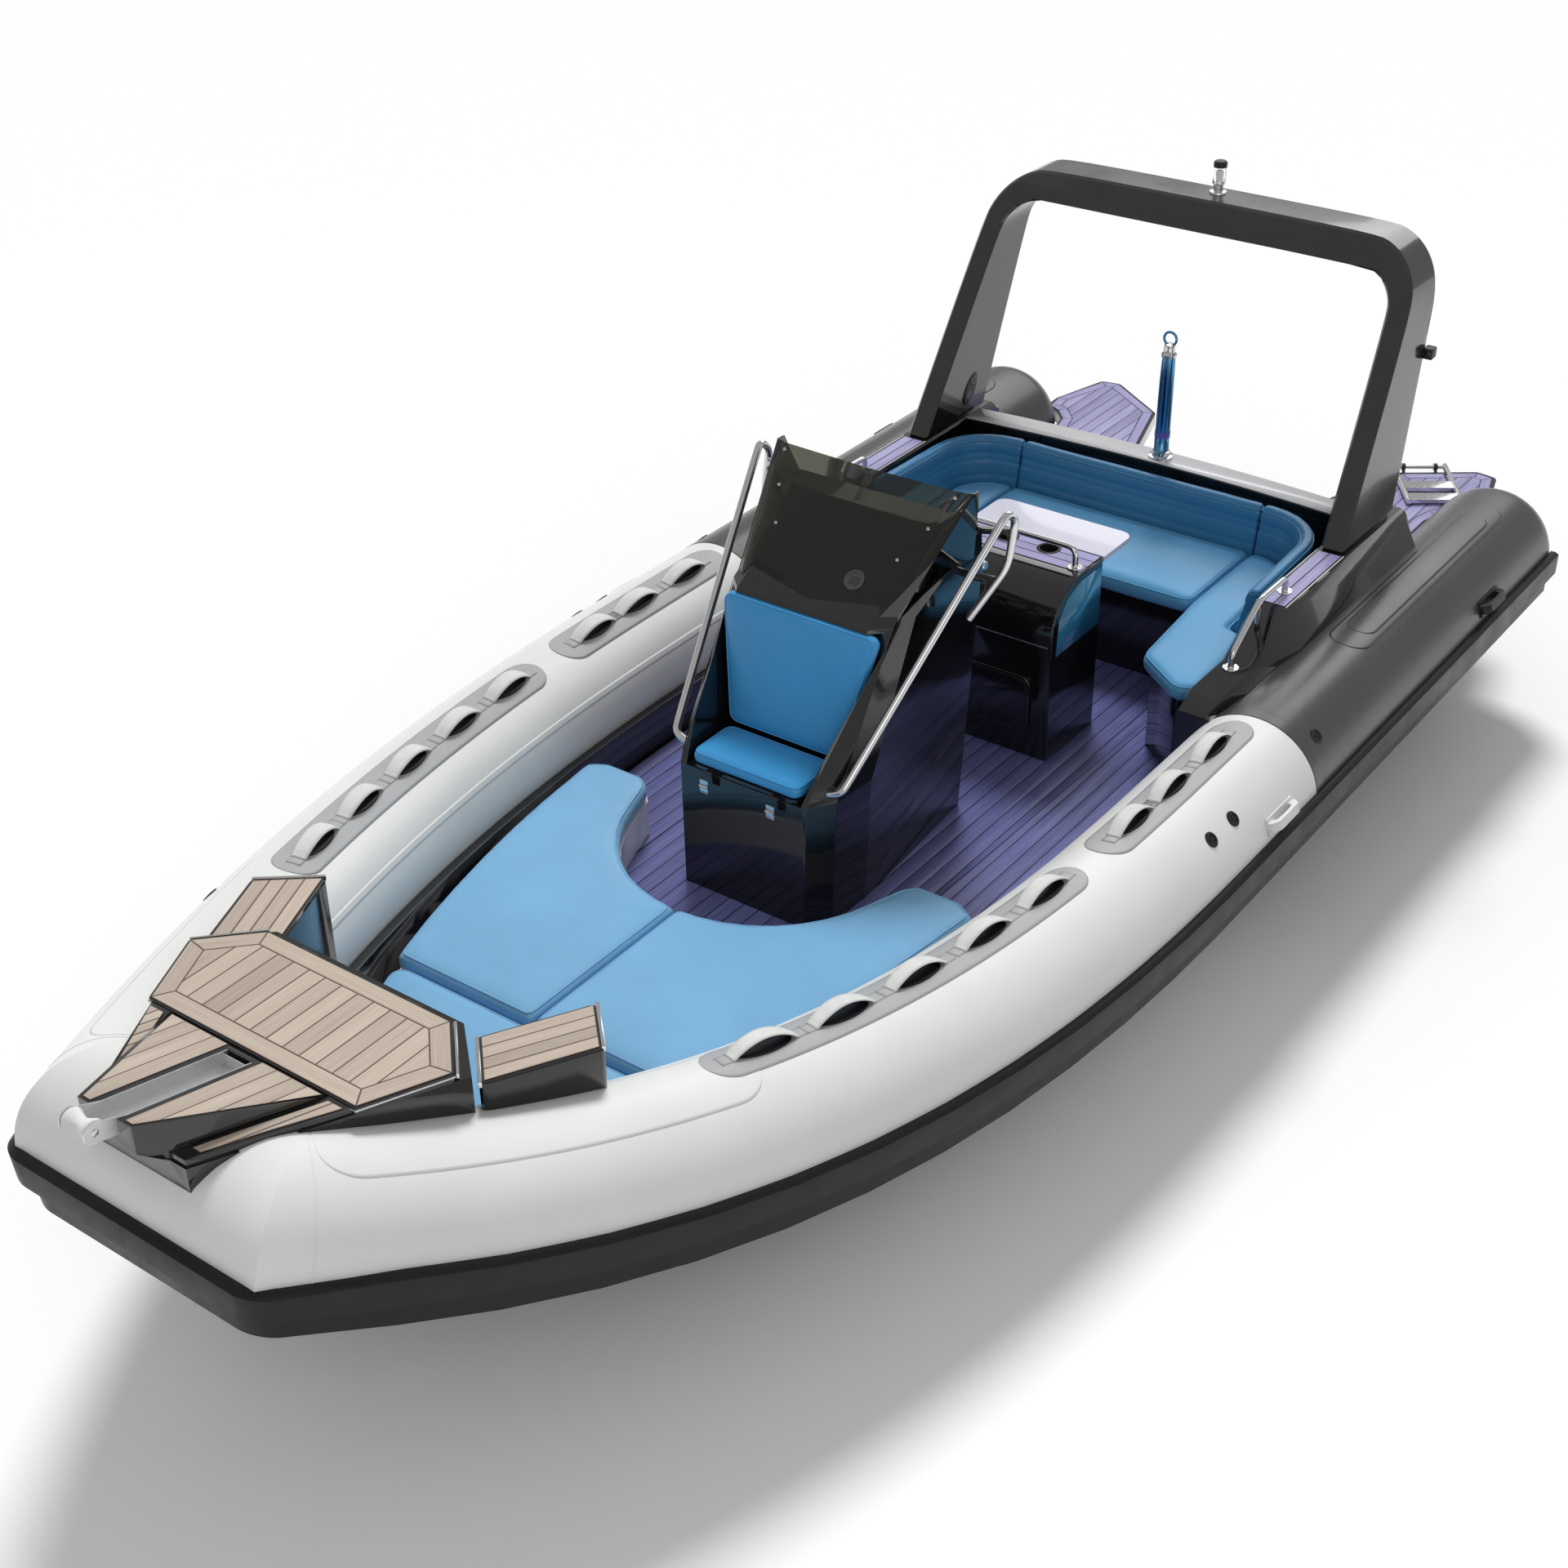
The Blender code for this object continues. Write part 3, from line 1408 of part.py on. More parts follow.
def seat_recess(name, grow):
    """The room between the console's front wings, for the seat and its back."""
    low_z, high_z = console_seat_z - grow, recess_top_z + grow
    front = console_nose_y[0] - overrun
    rings = []
    for half, back, z in ((recess_half_low + grow, recess_back_low_y + grow, low_z),
                          (recess_half_high + grow, recess_back_high_y + grow, high_z)):
        rings.append([(-half, front, z), (half, front, z), (half, back, z), (-half, back, z)])
    return loft(name, rings)


def back_frame():
    """A frame on the seat back's plane: X to port, Y up the back, Z out of it."""
    rise = Vector((0, recess_back_high_y - recess_back_low_y, recess_top_z - console_seat_z)).normalized()
    frame = Matrix.Identity(4)
    frame.col[0][:3] = (1, 0, 0)
    frame.col[1][:3] = rise
    frame.col[2][:3] = Vector((1, 0, 0)).cross(rise)
    frame.col[3][:3] = (0, recess_back_low_y, console_seat_z)
    return frame


def wheel_axis():
    tilt = math.radians(wheel_tilt_deg)
    return Vector((0, math.cos(tilt), math.sin(tilt)))


def make_console():
    shell = console_solid("console", 0.0)
    cut(shell, seat_recess("recess", 0.0))
    hollow = console_solid("hollow", -console_wall)
    hollow_floor = block("foot",
                         (-recess_half_low, console_nose_y[0] + console_sill, console_level_z[0] - overrun),
                         (recess_half_low, console_aft_y[0] - console_wall, console_level_z[0]))
    cut(hollow, seat_recess("grown", console_wall))
    unite(hollow, hollow_floor)
    hole = block("hole", (-seat_locker_half, seat_locker_fore_y, console_seat_z - 2 * console_wall),
                 (seat_locker_half, seat_locker_aft_y, console_seat_z + overrun))
    hub = Vector((0, wheel_y, wheel_z))
    axis = wheel_axis()
    bore = rod("bore", hub, hub - axis * (wheel_shaft_length + overrun), wheel_shaft_radius + pin_gap,
               joint_sides)
    cut(shell, hollow, hole, bore)
    box = block("box", (throttle_x - 2 * throttle_box_half, console_aft_y[3] - console_wall / 2,
                        throttle_z - throttle_box_low),
                (throttle_x, throttle_y + throttle_box_depth, throttle_z + throttle_box_high))
    unite(shell, soften(box, fine_edge))
    as_part(shell, "console_shell", BLACK_GELCOAT)
    low = console_seat_z + clearance
    corners = [Vector((-seat_half, seat_lid_fore_y)), Vector((seat_half, seat_lid_fore_y)),
               Vector((seat_half, seat_lid_aft_y)), Vector((-seat_half, seat_lid_aft_y))]
    lid = slab("lid", rounded(corners, cushion_corner, 2), low, low + seat_lid_thickness)
    pin_z = low + seat_hinge_radius
    for side in (-1, 1):
        middle = side * seat_hinge_x
        pin = rod("pin", (middle - seat_hinge_half, seat_hinge_y, pin_z),
                  (middle + seat_hinge_half, seat_hinge_y, pin_z), seat_hinge_radius, pin_sides)
        leaf = block("leaf", (middle - seat_hinge_half, seat_hinge_y, low + clearance),
                     (middle + seat_hinge_half, seat_lid_fore_y + seat_hinge_radius, pin_z))
        unite(lid, pin, leaf)
    hinge = (0, seat_hinge_y, pin_z)
    as_part(lid, "console_seat_lid", BLACK_GELCOAT, pivot=hinge)
    top = low + seat_lid_thickness + clearance
    seat = pillow("seat", rounded(corners, cushion_corner, 3), seat_thickness, seat_crown,
                  Matrix.Translation((0, 0, top)))
    as_part(seat, "console_seat_cushion", PAD_VINYL, pivot=hinge)
    slant = math.hypot(recess_back_high_y - recess_back_low_y, recess_top_z - console_seat_z)
    corners = [Vector((-back_low_half, back_foot)), Vector((back_low_half, back_foot)),
               Vector((back_high_half, slant - back_head)), Vector((-back_high_half, slant - back_head))]
    back = pillow("back", rounded(corners, cushion_corner, 3), back_thickness, back_crown,
                  back_frame() @ Matrix.Translation((0, 0, clearance)))
    as_part(back, "console_back_cushion", PAD_VINYL)


def make_screen():
    """One raked front pane wrapped into two side panes, let into the console top."""
    foot = [(screen_foot_half, screen_foot_aft_y), (screen_foot_half, screen_foot_fore_y + screen_corner),
            (screen_foot_half - screen_corner, screen_foot_fore_y), (0, screen_foot_fore_y - screen_bow)]
    head = [(screen_top_half, screen_top_aft_y), (screen_top_half, screen_top_fore_y + screen_tuck),
            (screen_top_half - screen_corner, screen_top_fore_y), (0, screen_top_fore_y - screen_bow)]
    grid = []
    for row in range(screen_rows + 1):
        share = row / screen_rows
        z = screen_foot_z + (screen_top_z - screen_foot_z) * share
        half = [Vector(a).lerp(Vector(b), share) for a, b in zip(foot, head)]
        line = [(x, y, z) for x, y in half] + [(-x, y, z) for x, y in reversed(half[:-1])]
        grid.append(line)
    bm = sheet("screen", grid)
    pane = mesh_from(bm, "screen")
    shell = pane.modifiers.new("glass", "SOLIDIFY")
    shell.thickness = screen_thickness
    shell.offset = 0
    shell.use_even_offset = True
    freeze(pane)
    cut(pane, console_solid("seat", clearance))
    as_part(pane, "windshield", SMOKED_ACRYLIC)


def make_wheel():
    hub = Vector((0, wheel_y, wheel_z))
    axis = wheel_axis()
    up = axis.cross(Vector((1, 0, 0)))
    turn = Matrix.Identity(4)
    turn.col[0][:3] = (1, 0, 0)
    turn.col[1][:3] = up
    turn.col[2][:3] = axis
    turn.col[3][:3] = hub
    rim = torus(wheel_radius, wheel_rim, wheel_rim_steps, wheel_rim_sides, turn)
    boss = rod("boss", hub - axis * wheel_hub_depth, hub + axis * wheel_hub_depth / 2, wheel_hub_radius,
               joint_sides, wheel_boss_radius)
    shaft = rod("shaft", hub, hub - axis * wheel_shaft_length, wheel_shaft_radius, joint_sides)
    unite(boss, shaft)
    for turn_deg in wheel_spoke_degs:
        angle = math.radians(turn_deg)
        reach = (Vector((1, 0, 0)) * math.cos(angle) + up * math.sin(angle)) * wheel_spoke_reach
        spoke = rod("spoke", hub - axis * wheel_spoke_half, hub + reach, wheel_spoke_half, spoke_sides)
        unite(boss, spoke)
    unite(boss, rim)
    as_part(boss, "steering_wheel", BLACK_RUBBER, pivot=tuple(hub))


def make_throttle():
    lean = math.radians(throttle_lean_deg)
    pivot = Vector((throttle_x + clearance, throttle_y, throttle_z))
    side = Vector((throttle_hub_width, 0, 0))
    hub = rod("hub", pivot, pivot + side, throttle_hub_radius, cheek_sides)
    reach = Vector((0, math.sin(lean), math.cos(lean))) * throttle_arm
    arm = rod("arm", pivot + side / 2, pivot + side / 2 + reach, throttle_arm_radius - clearance, rail_sides)
    end = pivot + side / 2 + reach
    knob = rod("knob", end - side, end + side, throttle_knob, knob_sides)
    unite(hub, arm, soften(knob, throttle_knob_edge))
    as_part(hub, "throttle_lever", STAINLESS, pivot=tuple(pivot))


def bent(points, reach):
    """Ease the corners of a path in space."""
    points = [Vector(point) for point in points]
    result = [points[0]]
    for before, here, after in zip(points, points[1:], points[2:]):
        into, out = before - here, after - here
        length = min(reach, into.length * reach_share, out.length * reach_share)
        start, end = here + into.normalized() * length, here + out.normalized() * length
        for step in range(rail_bend_steps + 1):
            share = step / rail_bend_steps
            result.append(start.lerp(here, share).lerp(here.lerp(end, share), share))
    return result + [points[-1]]


def make_console_rails():
    path = bent([rail_low, rail_knee, rail_top, rail_over, rail_down, rail_end], rail_bend)
    for side, word in ((1, "port"), (-1, "starboard")):
        rail = pipe("rail", mirrored(path, side), rail_radius, rail_sides)
        for start in (rail_stub_high, rail_stub_low):
            end = (rail_stub_x, rail_stub_y, start[2] - rail_stub_drop)
            ends = mirrored([start, end], side)
            unite(rail, rod("stub", ends[0], ends[1], rail_radius, rail_sides))
        cut(rail, console_solid("seat", clearance))
        as_part(rail, f"console_rail_{word}", STAINLESS)


def module_profile(grow):
    """Side outline of the module: upright front rolled into the top, square at the back."""
    fore, aft = module_fore_y - grow, module_aft_y + grow
    top, roll = module_top_z + grow, module_roll + grow
    points = [(aft, console_level_z[0]), (aft, top)]
    for step in range(module_roll_steps + 1):
        turn = math.pi / 2 * (1 + step / module_roll_steps)
        points.append((fore + roll + roll * math.cos(turn), top - roll + roll * math.sin(turn)))
    return points + [(fore, console_level_z[0])]


def make_module():
    left, right = module_x - module_half, module_x + module_half
    body = slab("module", module_profile(0), left, right, "X")
    soften(body, fine_edge, blunt_deg)
    inner = module_profile(-module_wall)
    inner[0] = (inner[0][0], console_level_z[0] - overrun)
    inner[-1] = (inner[-1][0], console_level_z[0] - overrun)
    cut(body, slab("hollow", inner, left + module_wall, right - module_wall, "X"))
    door_left, door_right = door_x - door_half, door_x + door_half
    hole = block("hole", (door_left + door_lap, module_fore_y - overrun, door_low_z + door_lap),
                 (door_right - door_lap, module_fore_y + overrun, door_high_z - door_lap))
    cut(body, hole)
    for side in (-1, 1):
        x = module_x + side * cup_offset_x
        low = module_top_z - cup_depth
        well = rod("well", (x, cup_y, low - cup_wall), (x, cup_y, module_top_z - module_wall / 2),
                   cup_radius + cup_wall, joint_sides)
        unite(body, well)
        cut(body, rod("cup", (x, cup_y, low), (x, cup_y, module_top_z + overrun), cup_radius, joint_sides))
    as_part(body, "helm_module", BLACK_GELCOAT)
    front = module_fore_y - clearance
    outline = rounded([Vector((door_left, door_low_z)), Vector((door_right, door_low_z)),
                       Vector((door_right, door_high_z)), Vector((door_left, door_high_z))], door_corner, 4)
    door = slab("door", outline, front - door_thickness, front, "Y")
    soften(door, small_edge, blunt_deg)
    knob_z = (door_low_z + door_high_z) / 2
    knob_x = door_left + 2 * door_knob_radius
    knob = rod("knob", (knob_x, front - door_thickness / 2, knob_z),
               (knob_x, front - door_thickness - door_knob_height, knob_z), door_knob_radius, knob_sides)
    unite(door, knob)
    as_part(door, "module_door", BLACK_GELCOAT, pivot=(door_right, front - door_thickness, knob_z))
    pin_y = module_aft_y + leaf_pin_radius + clearance
    leaf_low = module_top_z - leaf_thickness
    corners = [Vector((left, pin_y)), Vector((right, pin_y)), Vector((right, pin_y + leaf_length)),
               Vector((left, pin_y + leaf_length))]
    leaf = slab("leaf", rounded(corners, [0, 0, leaf_corner, leaf_corner], 4), leaf_low, module_top_z)
    for side in (-1, 1):
        middle = module_x + side * leaf_pin_x
        unite(leaf, rod("pin", (middle - leaf_pin_half, pin_y, leaf_low),
                        (middle + leaf_pin_half, pin_y, leaf_low), leaf_pin_radius, pin_sides))
    as_part(leaf, "table_leaf", LILAC_TEAK, pivot=(module_x, pin_y, leaf_low))
    base = module_top_z + clearance
    ends = (module_x - module_rail_half, module_x + module_rail_half)
    path = bent([(ends[0], module_rail_y, base), (ends[0], module_rail_y, base + module_rail_rise),
                 (ends[1], module_rail_y, base + module_rail_rise), (ends[1], module_rail_y, base)],
                module_rail_bend)
    rail = pipe("rail", path, module_rail_radius, rail_sides)
    for x in ends:
        unite(rail, rod("flange", (x, module_rail_y, base), (x, module_rail_y, base + rail_flange_height),
                        rail_flange_radius, joint_sides))
    as_part(rail, "module_rail", STAINLESS)


def back_path():
    """The seat side of the bench backs in plan, from the middle round to the port front end."""
    corners = [Vector((0, back_line_y)), Vector((back_line_x, back_line_y)), Vector((back_side_x, back_side_y))]
    line = rounded(corners, [0, back_line_radius, 0], back_line_steps)
    seam = Vector((bench_well_x, back_line_y))
    return [seam] + line[1:]


def back_section():
    """Depth and height pairs of a bench back, with two sewn channels on its face."""
    face = [(back_depth * depth, height) for depth, height in back_face_shares]
    for share in channel_shares:
        face += [(0.0, share - channel_half_share), (channel_depth, share), (0.0, share + channel_half_share)]
    face += [(back_depth * depth, height) for depth, height in back_rear_shares]
    return [(depth + back_lean * height, back_height * height) for depth, height in face]


def back_cushion(name, path):
    """Sweep the back section along a plan path, its ends drawn in softly."""
    section = back_section()
    middle = (back_depth / 2 + back_lean / 2, back_height / 2)
    drawn = [(middle[0] + (depth - middle[0]) * back_end_shares[0],
              middle[1] + (height - middle[1]) * back_end_shares[1]) for depth, height in section]
    normals = []
    for index, here in enumerate(path):
        ahead = path[min(index + 1, len(path) - 1)] - path[max(index - 1, 0)]
        normals.append(Vector((-ahead.y, ahead.x)).normalized())
    rings = []
    foot = bench_seat_z + clearance

    def ring(here, normal, pairs):
        rings.append([(here.x + normal.x * depth, here.y + normal.y * depth, foot + height)
                      for depth, height in pairs])

    first = (path[1] - path[0]).normalized() * back_soft_end
    last = (path[-1] - path[-2]).normalized() * back_soft_end
    ring(path[0], normals[0], drawn)
    ring(path[0] + first, normals[0], section)
    for here, normal in zip(path[1:-1], normals[1:-1]):
        ring(here, normal, section)
    ring(path[-1] - last, normals[-1], section)
    ring(path[-1], normals[-1], drawn)
    return loft(name, rings)


def make_bench():
    path = back_path()
    front = [(bench_well_x - bench_foot_back, bench_front_y + bench_foot_back),
             (bench_toe_inner_x + bench_foot_back, bench_toe_inner_y + bench_foot_back),
             (bench_toe_x, bench_toe_y + bench_foot_back),
             (bench_outer_x, bench_toe_outer_y + bench_foot_back), (bench_outer_x, bench_stern_y)]
    base = slab("base", whole(front), deck_level(), bench_seat_z)
    as_part(base, "bench_base", BLACK_GELCOAT)
    top = Matrix.Translation((0, 0, bench_seat_z + clearance))
    back_edge = back_line_y - back_seat_gap
    corners = [Vector((-bench_well_x, bench_front_y)), Vector((bench_well_x, bench_front_y)),
               Vector((bench_well_x, back_edge)), Vector((-bench_well_x, back_edge))]
    outline = rounded(corners, [bench_corner, bench_corner, 0, 0], 3)
    centre = pillow("seat", outline, bench_cushion, bench_crown, top)
    as_part(centre, "bench_seat_centre", BENCH_VINYL)
    inner = bench_well_x + bench_seam
    behind = [point + Vector((-back_seat_gap, -back_seat_gap)) for point in path[1:]]
    outline = [Vector((inner, bench_front_y)), Vector((bench_toe_inner_x, bench_toe_inner_y)),
               Vector((bench_toe_x, bench_toe_y)), Vector((bench_outer_x, bench_toe_outer_y)),
               Vector((bench_outer_x, back_side_y - bench_corner)), *reversed(behind),
               Vector((inner, back_edge))]
    radii = [0, bench_toe_corner, bench_toe_corner, bench_corner, bench_corner] + [0] * (len(behind) + 1)
    outline = rounded(outline, radii, 3)
    for side, word in ((1, "port"), (-1, "starboard")):
        shape = [(side * x, y) for x, y in outline]
        seat = pillow("seat", shape, bench_cushion, bench_crown, top)
        as_part(seat, f"bench_seat_{word}", BENCH_VINYL)
        wing_path = [point.copy() for point in path]
        wing_path[0].x += bench_seam
        wing = back_cushion("back", wing_path)
        if side < 0:
            wing.data.transform(Matrix.Diagonal((-1, 1, 1, 1)))
            wing.data.flip_normals()
        as_part(wing, f"bench_back_{word}", BENCH_VINYL)
    middle = back_cushion("back", [Vector((-bench_well_x, back_line_y)), Vector((0, back_line_y)),
                                   Vector((bench_well_x, back_line_y))])
    as_part(middle, "bench_back_centre", BENCH_VINYL)


def coaming_rings(grow=0.0):
    drop = coaming_toe_drop
    levels = ((coaming_toe_y, coaming_toe_x - drop, coaming_toe_x, coaming_shelf_z - drop),
              (coaming_toe_y + coaming_toe_run, coaming_deck_x, coaming_toe_x, coaming_shelf_z),
              (coaming_shelf_y, coaming_deck_x, coaming_cheek_x, coaming_shelf_z),
              (coaming_rise_y, coaming_deck_x, coaming_cheek_x, coaming_top_z),
              (coaming_tail_y, coaming_deck_x, coaming_cheek_x, coaming_top_z),
              (coaming_aft_y, coaming_deck_x, coaming_cheek_x - drop, coaming_top_z - drop))
    rings = []
    for y, deck_x, cheek_x, top in levels:
        cheek_z = min(coaming_cheek_z, top - coaming_edge)
        inner = coaming_inner_x - grow
        rings.append([(inner, y, coaming_low_z), (inner, y, top - coaming_edge + grow),
                      (inner + coaming_edge, y, top + grow), (deck_x, y, top + grow),
                      (cheek_x + grow, y, cheek_z), (cheek_x + grow, y, coaming_low_z)])
    return rings


def make_stern_mouldings():
    last = float(len(station_y))
    for side, word in ((1, "port"), (-1, "starboard")):
        coaming = loft("coaming", [mirrored(ring, side) for ring in coaming_rings()])
        cut(coaming, tube_cutter("tube", side, place_at(tube_straight_y), last))
        as_part(coaming, f"coaming_{word}", BLACK_GELCOAT)
    half_width = coaming_inner_x - clearance
    inner, outer = [], []
    for step in range(bulkhead_steps + 1):
        share = 2 * step / bulkhead_steps - 1
        bow = (bulkhead_centre_y - bulkhead_side_y) * (1 - share * share)
        inner.append((half_width * share, bulkhead_side_y + bow))
        outer.append((half_width * share, bulkhead_side_y + bulkhead_thickness + bow))
    bulkhead = slab("bulkhead", inner + list(reversed(outer)), deck_level(), bulkhead_top_z)
    soften(bulkhead, bulkhead_edge, blunt_deg)
    as_part(bulkhead, "stern_bulkhead", BLACK_GELCOAT)


def make_arch():
    foot = coaming_top_z + clearance
    corners = [(arch_foot_outer_x, foot), (arch_top_outer_x, arch_top_z), (-arch_top_outer_x, arch_top_z),
               (-arch_foot_outer_x, foot), (-arch_foot_inner_x, foot), (-arch_top_inner_x, arch_beam_z),
               (arch_top_inner_x, arch_beam_z), (arch_foot_inner_x, foot)]
    radii = [0, arch_corner_outer, arch_corner_outer, 0, 0, arch_corner_inner, arch_corner_inner, 0]
    outline = rounded([Vector(corner) for corner in corners], radii, arch_corner_steps)
    arch = slab("arch", outline, 0, 1, "Y")
    for vertex in arch.data.vertices:
        share = (vertex.co.z - foot) / (arch_top_z - foot)
        fore = arch_foot_fore_y + (arch_top_fore_y - arch_foot_fore_y) * share
        aft = arch_foot_aft_y + (arch_top_aft_y - arch_foot_aft_y) * share
        vertex.co.y = fore + (aft - fore) * vertex.co.y
    soften(arch, arch_edge, arch_soft_deg)
    as_part(arch, "arch", BLACK_GELCOAT)
    base = arch_top_z + clearance
    profile = [(0, nav_height), (nav_crown_radius, nav_height), (nav_radius, nav_height - nav_cap / 2),
               (nav_radius, nav_stem_height), (nav_stem_radius, nav_stem_height - nav_cap / 2),
               (nav_stem_radius, 0), (0, 0)]
    as_part(turned("nav", profile, (0, nav_y, base)), "nav_light", CLEAR_LENS)


def make_pole():
    base = bulkhead_top_z + clearance
    head = pole_height + pole_neck_height
    profile = [(0, head), (pole_crown_radius, head), (pole_neck_radius, head - pole_crown_drop),
               (pole_neck_radius, pole_height), (pole_radius, pole_height - pole_flange_height),
               (pole_radius, pole_flange_height), (pole_flange_radius, pole_flange_edge),
               (pole_flange_radius, 0), (0, 0)]
    pole = turned("pole", profile, (0, pole_y, base))
    place = Matrix.Translation((0, pole_y, base + head + pole_ring_rise)) @ Matrix.Rotation(math.pi / 2, 4, "X")
    unite(pole, torus(pole_ring_radius, pole_ring_wire, joint_sides, pole_ring_sides, place))
    as_part(pole, "ski_pole", STAINLESS)


def make_stern_rails():
    head_z = coaming_top_z + stern_rail_stand
    foot_z = coaming_shelf_z + stern_rail_stand
    head_foot, toe_foot = coaming_top_z + clearance, coaming_shelf_z + clearance
    line = ((stern_rail_head_y, head_foot), (stern_rail_head_y, head_z), (stern_rail_mid_y, head_z),
            (stern_rail_foot_y, foot_z), (stern_rail_foot_y, toe_foot))
    path = bent([(stern_rail_x, y, z) for y, z in line], stern_rail_bend)
    for side, word in ((1, "port"), (-1, "starboard")):
        rail = pipe("rail", mirrored(path, side), stern_rail_radius, rail_sides)
        for y, z in ((stern_rail_head_y, head_foot), (stern_rail_foot_y, toe_foot)):
            start, end = mirrored([(stern_rail_x, y, z), (stern_rail_x, y, z + rail_flange_height)], side)
            unite(rail, rod("flange", start, end, rail_flange_radius, joint_sides))
        start, end = mirrored([(stern_rail_x, stern_rail_mid_y, head_z),
                               (stern_rail_x, stern_rail_mid_y, coaming_shelf_z)], side)
        unite(rail, rod("post", start, end, stern_rail_radius, rail_sides))
        grown = loft("seat", [mirrored(ring, side) for ring in coaming_rings(clearance)])
        cut(rail, grown)
        as_part(rail, f"stern_rail_{word}", STAINLESS)


def ladder_frame_axes():
    turn = math.radians(ladder_turn_deg)
    across = Vector((math.cos(turn), math.sin(turn), 0))
    inward = Vector((math.sin(turn), -math.cos(turn), 0))
    middle = Vector((ladder_x, ladder_y, swim_top_z + ladder_lift)) - inward * ladder_overhang
    return middle, across, inward


def make_swim_platforms():
    corners = [(swim_inner_x, swim_fore_y), (swim_outer_x, swim_fore_y), (swim_flank_x, swim_flank_y),
               (swim_corner_x, swim_corner_y), (swim_aft_x, swim_aft_y), (swim_chamfer_x, swim_chamfer_y),
               (swim_inner_x, swim_taper_y)]
    radii = [swim_corner, 0, swim_corner, swim_corner, swim_corner, swim_corner, swim_corner]
    outline = rounded([Vector(corner) for corner in corners], radii, 2)
    last = float(len(station_y))
    middle, across, inward = ladder_frame_axes()
    for side, word in ((1, "port"), (-1, "starboard")):
        shape = [(side * x, y) for x, y in outline]
        deck = slab("deck", shape, swim_top_z - swim_thickness, swim_top_z)
        rib_low = station_point(len(station_y), *polar(hull_cradle_degs[0], clearance)).z + clearance
        xs = sorted((side * (swim_inner_x + swim_corner), side * swim_rib_x))
        rib = block("rib", (xs[0], transom_y - swim_rib_half, rib_low),
                    (xs[1], transom_y + swim_rib_half, swim_top_z - swim_thickness / 2))
        unite(deck, rib)
        section = tube_section(swim_tube_gap)
        join = places_between(place_at(tube_join_y), last)
        rings = [ring_at(place, section, side) for place in join]
        for step in range(1, dome_steps + 1):
            bend = math.radians(swim_dome_deg) * step / dome_steps
            ring = ring_at(last, [(out * math.cos(bend), up * math.cos(bend)) for out, up in section], side)
            for point in ring:
                point.y += (tube_dome_length + swim_tube_gap) * math.sin(bend)
            rings.append(ring)
        cut(deck, loft("tube", rings))
        if side > 0:
            for lug_side in (-1, 1):
                here = middle + across * ladder_lug_at * lug_side
                lug = rod("lug", here - across * ladder_lug_half, here + across * ladder_lug_half,
                          ladder_lug_radius, knob_sides)
                reach = inward * 2 * ladder_overhang - Vector((0, 0, ladder_lift * 2))
                tongue = rod("tongue", here, here + reach, ladder_tongue_radius, spoke_sides)
                unite(lug, tongue)
                unite(deck, lug)
            reach = across * ladder_half
            cut(deck, rod("bore", middle - reach, middle + reach, ladder_pin_radius + pin_gap, joint_sides))
        as_part(deck, f"swim_platform_{word}", BLACK_GELCOAT)
    ladder = None
    for rail_side in (-1, 1):
        start = middle + across * ladder_half * rail_side
        rail = rod("rail", start - inward * ladder_rail_radius, start + inward * ladder_length,
                   ladder_rail_radius, pin_sides)
        ladder = unite(ladder, rail) if ladder else rail
    reach = across * ladder_half
    unite(ladder, rod("pin", middle - reach, middle + reach, ladder_pin_radius, joint_sides))
    for at in ladder_tread_at:
        low = [middle + inward * (at + half * ladder_tread_width / 2) + across * ladder_half * wide
               for half, wide in ((-1, -1), (-1, 1), (1, 1), (1, -1))]
        drop = Vector((0, 0, ladder_tread_thickness / 2))
        unite(ladder, loft("tread", [[point - drop for point in low], [point + drop for point in low]]))
    as_part(ladder, "boarding_ladder", STAINLESS, pivot=tuple(middle))


clear_scene()
bpy.context.scene.collection.children.link(parts)
bpy.context.scene.collection.children.link(guides)
make_tubes()
make_strakes()
for side, word in ((1, "port"), (-1, "starboard")):
    make_patch(f"grab_patch_{word}_fore", side, fore_patch_y, fore_loop_y)
    make_patch(f"grab_patch_{word}_aft", side, aft_patch_y, aft_loop_y)
    make_carry_handle(f"carry_handle_{word}_fore", side, carry_handle_fore_y, WHITE_GELCOAT)
    make_carry_handle(f"carry_handle_{word}_aft", side, carry_handle_aft_y, BLACK_RUBBER)
make_hull()
make_liner()
make_bow_lounge()
make_bow_platform()
make_bow_steps()
make_roller()
make_console()
make_screen()
make_wheel()
make_throttle()
make_console_rails()
make_module()
make_bench()
make_stern_mouldings()
make_arch()
make_pole()
make_stern_rails()
make_swim_platforms()
for leftover in list(guides.objects):
    bpy.data.objects.remove(leftover, do_unlink=True)
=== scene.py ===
"""Looks of a rigid inflatable boat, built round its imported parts. Metres, +X to port, +Y to the stern."""
import json
import math

import bmesh
import bpy
from mathutils import Matrix, Vector
from mathutils.noise import noise as noise_at

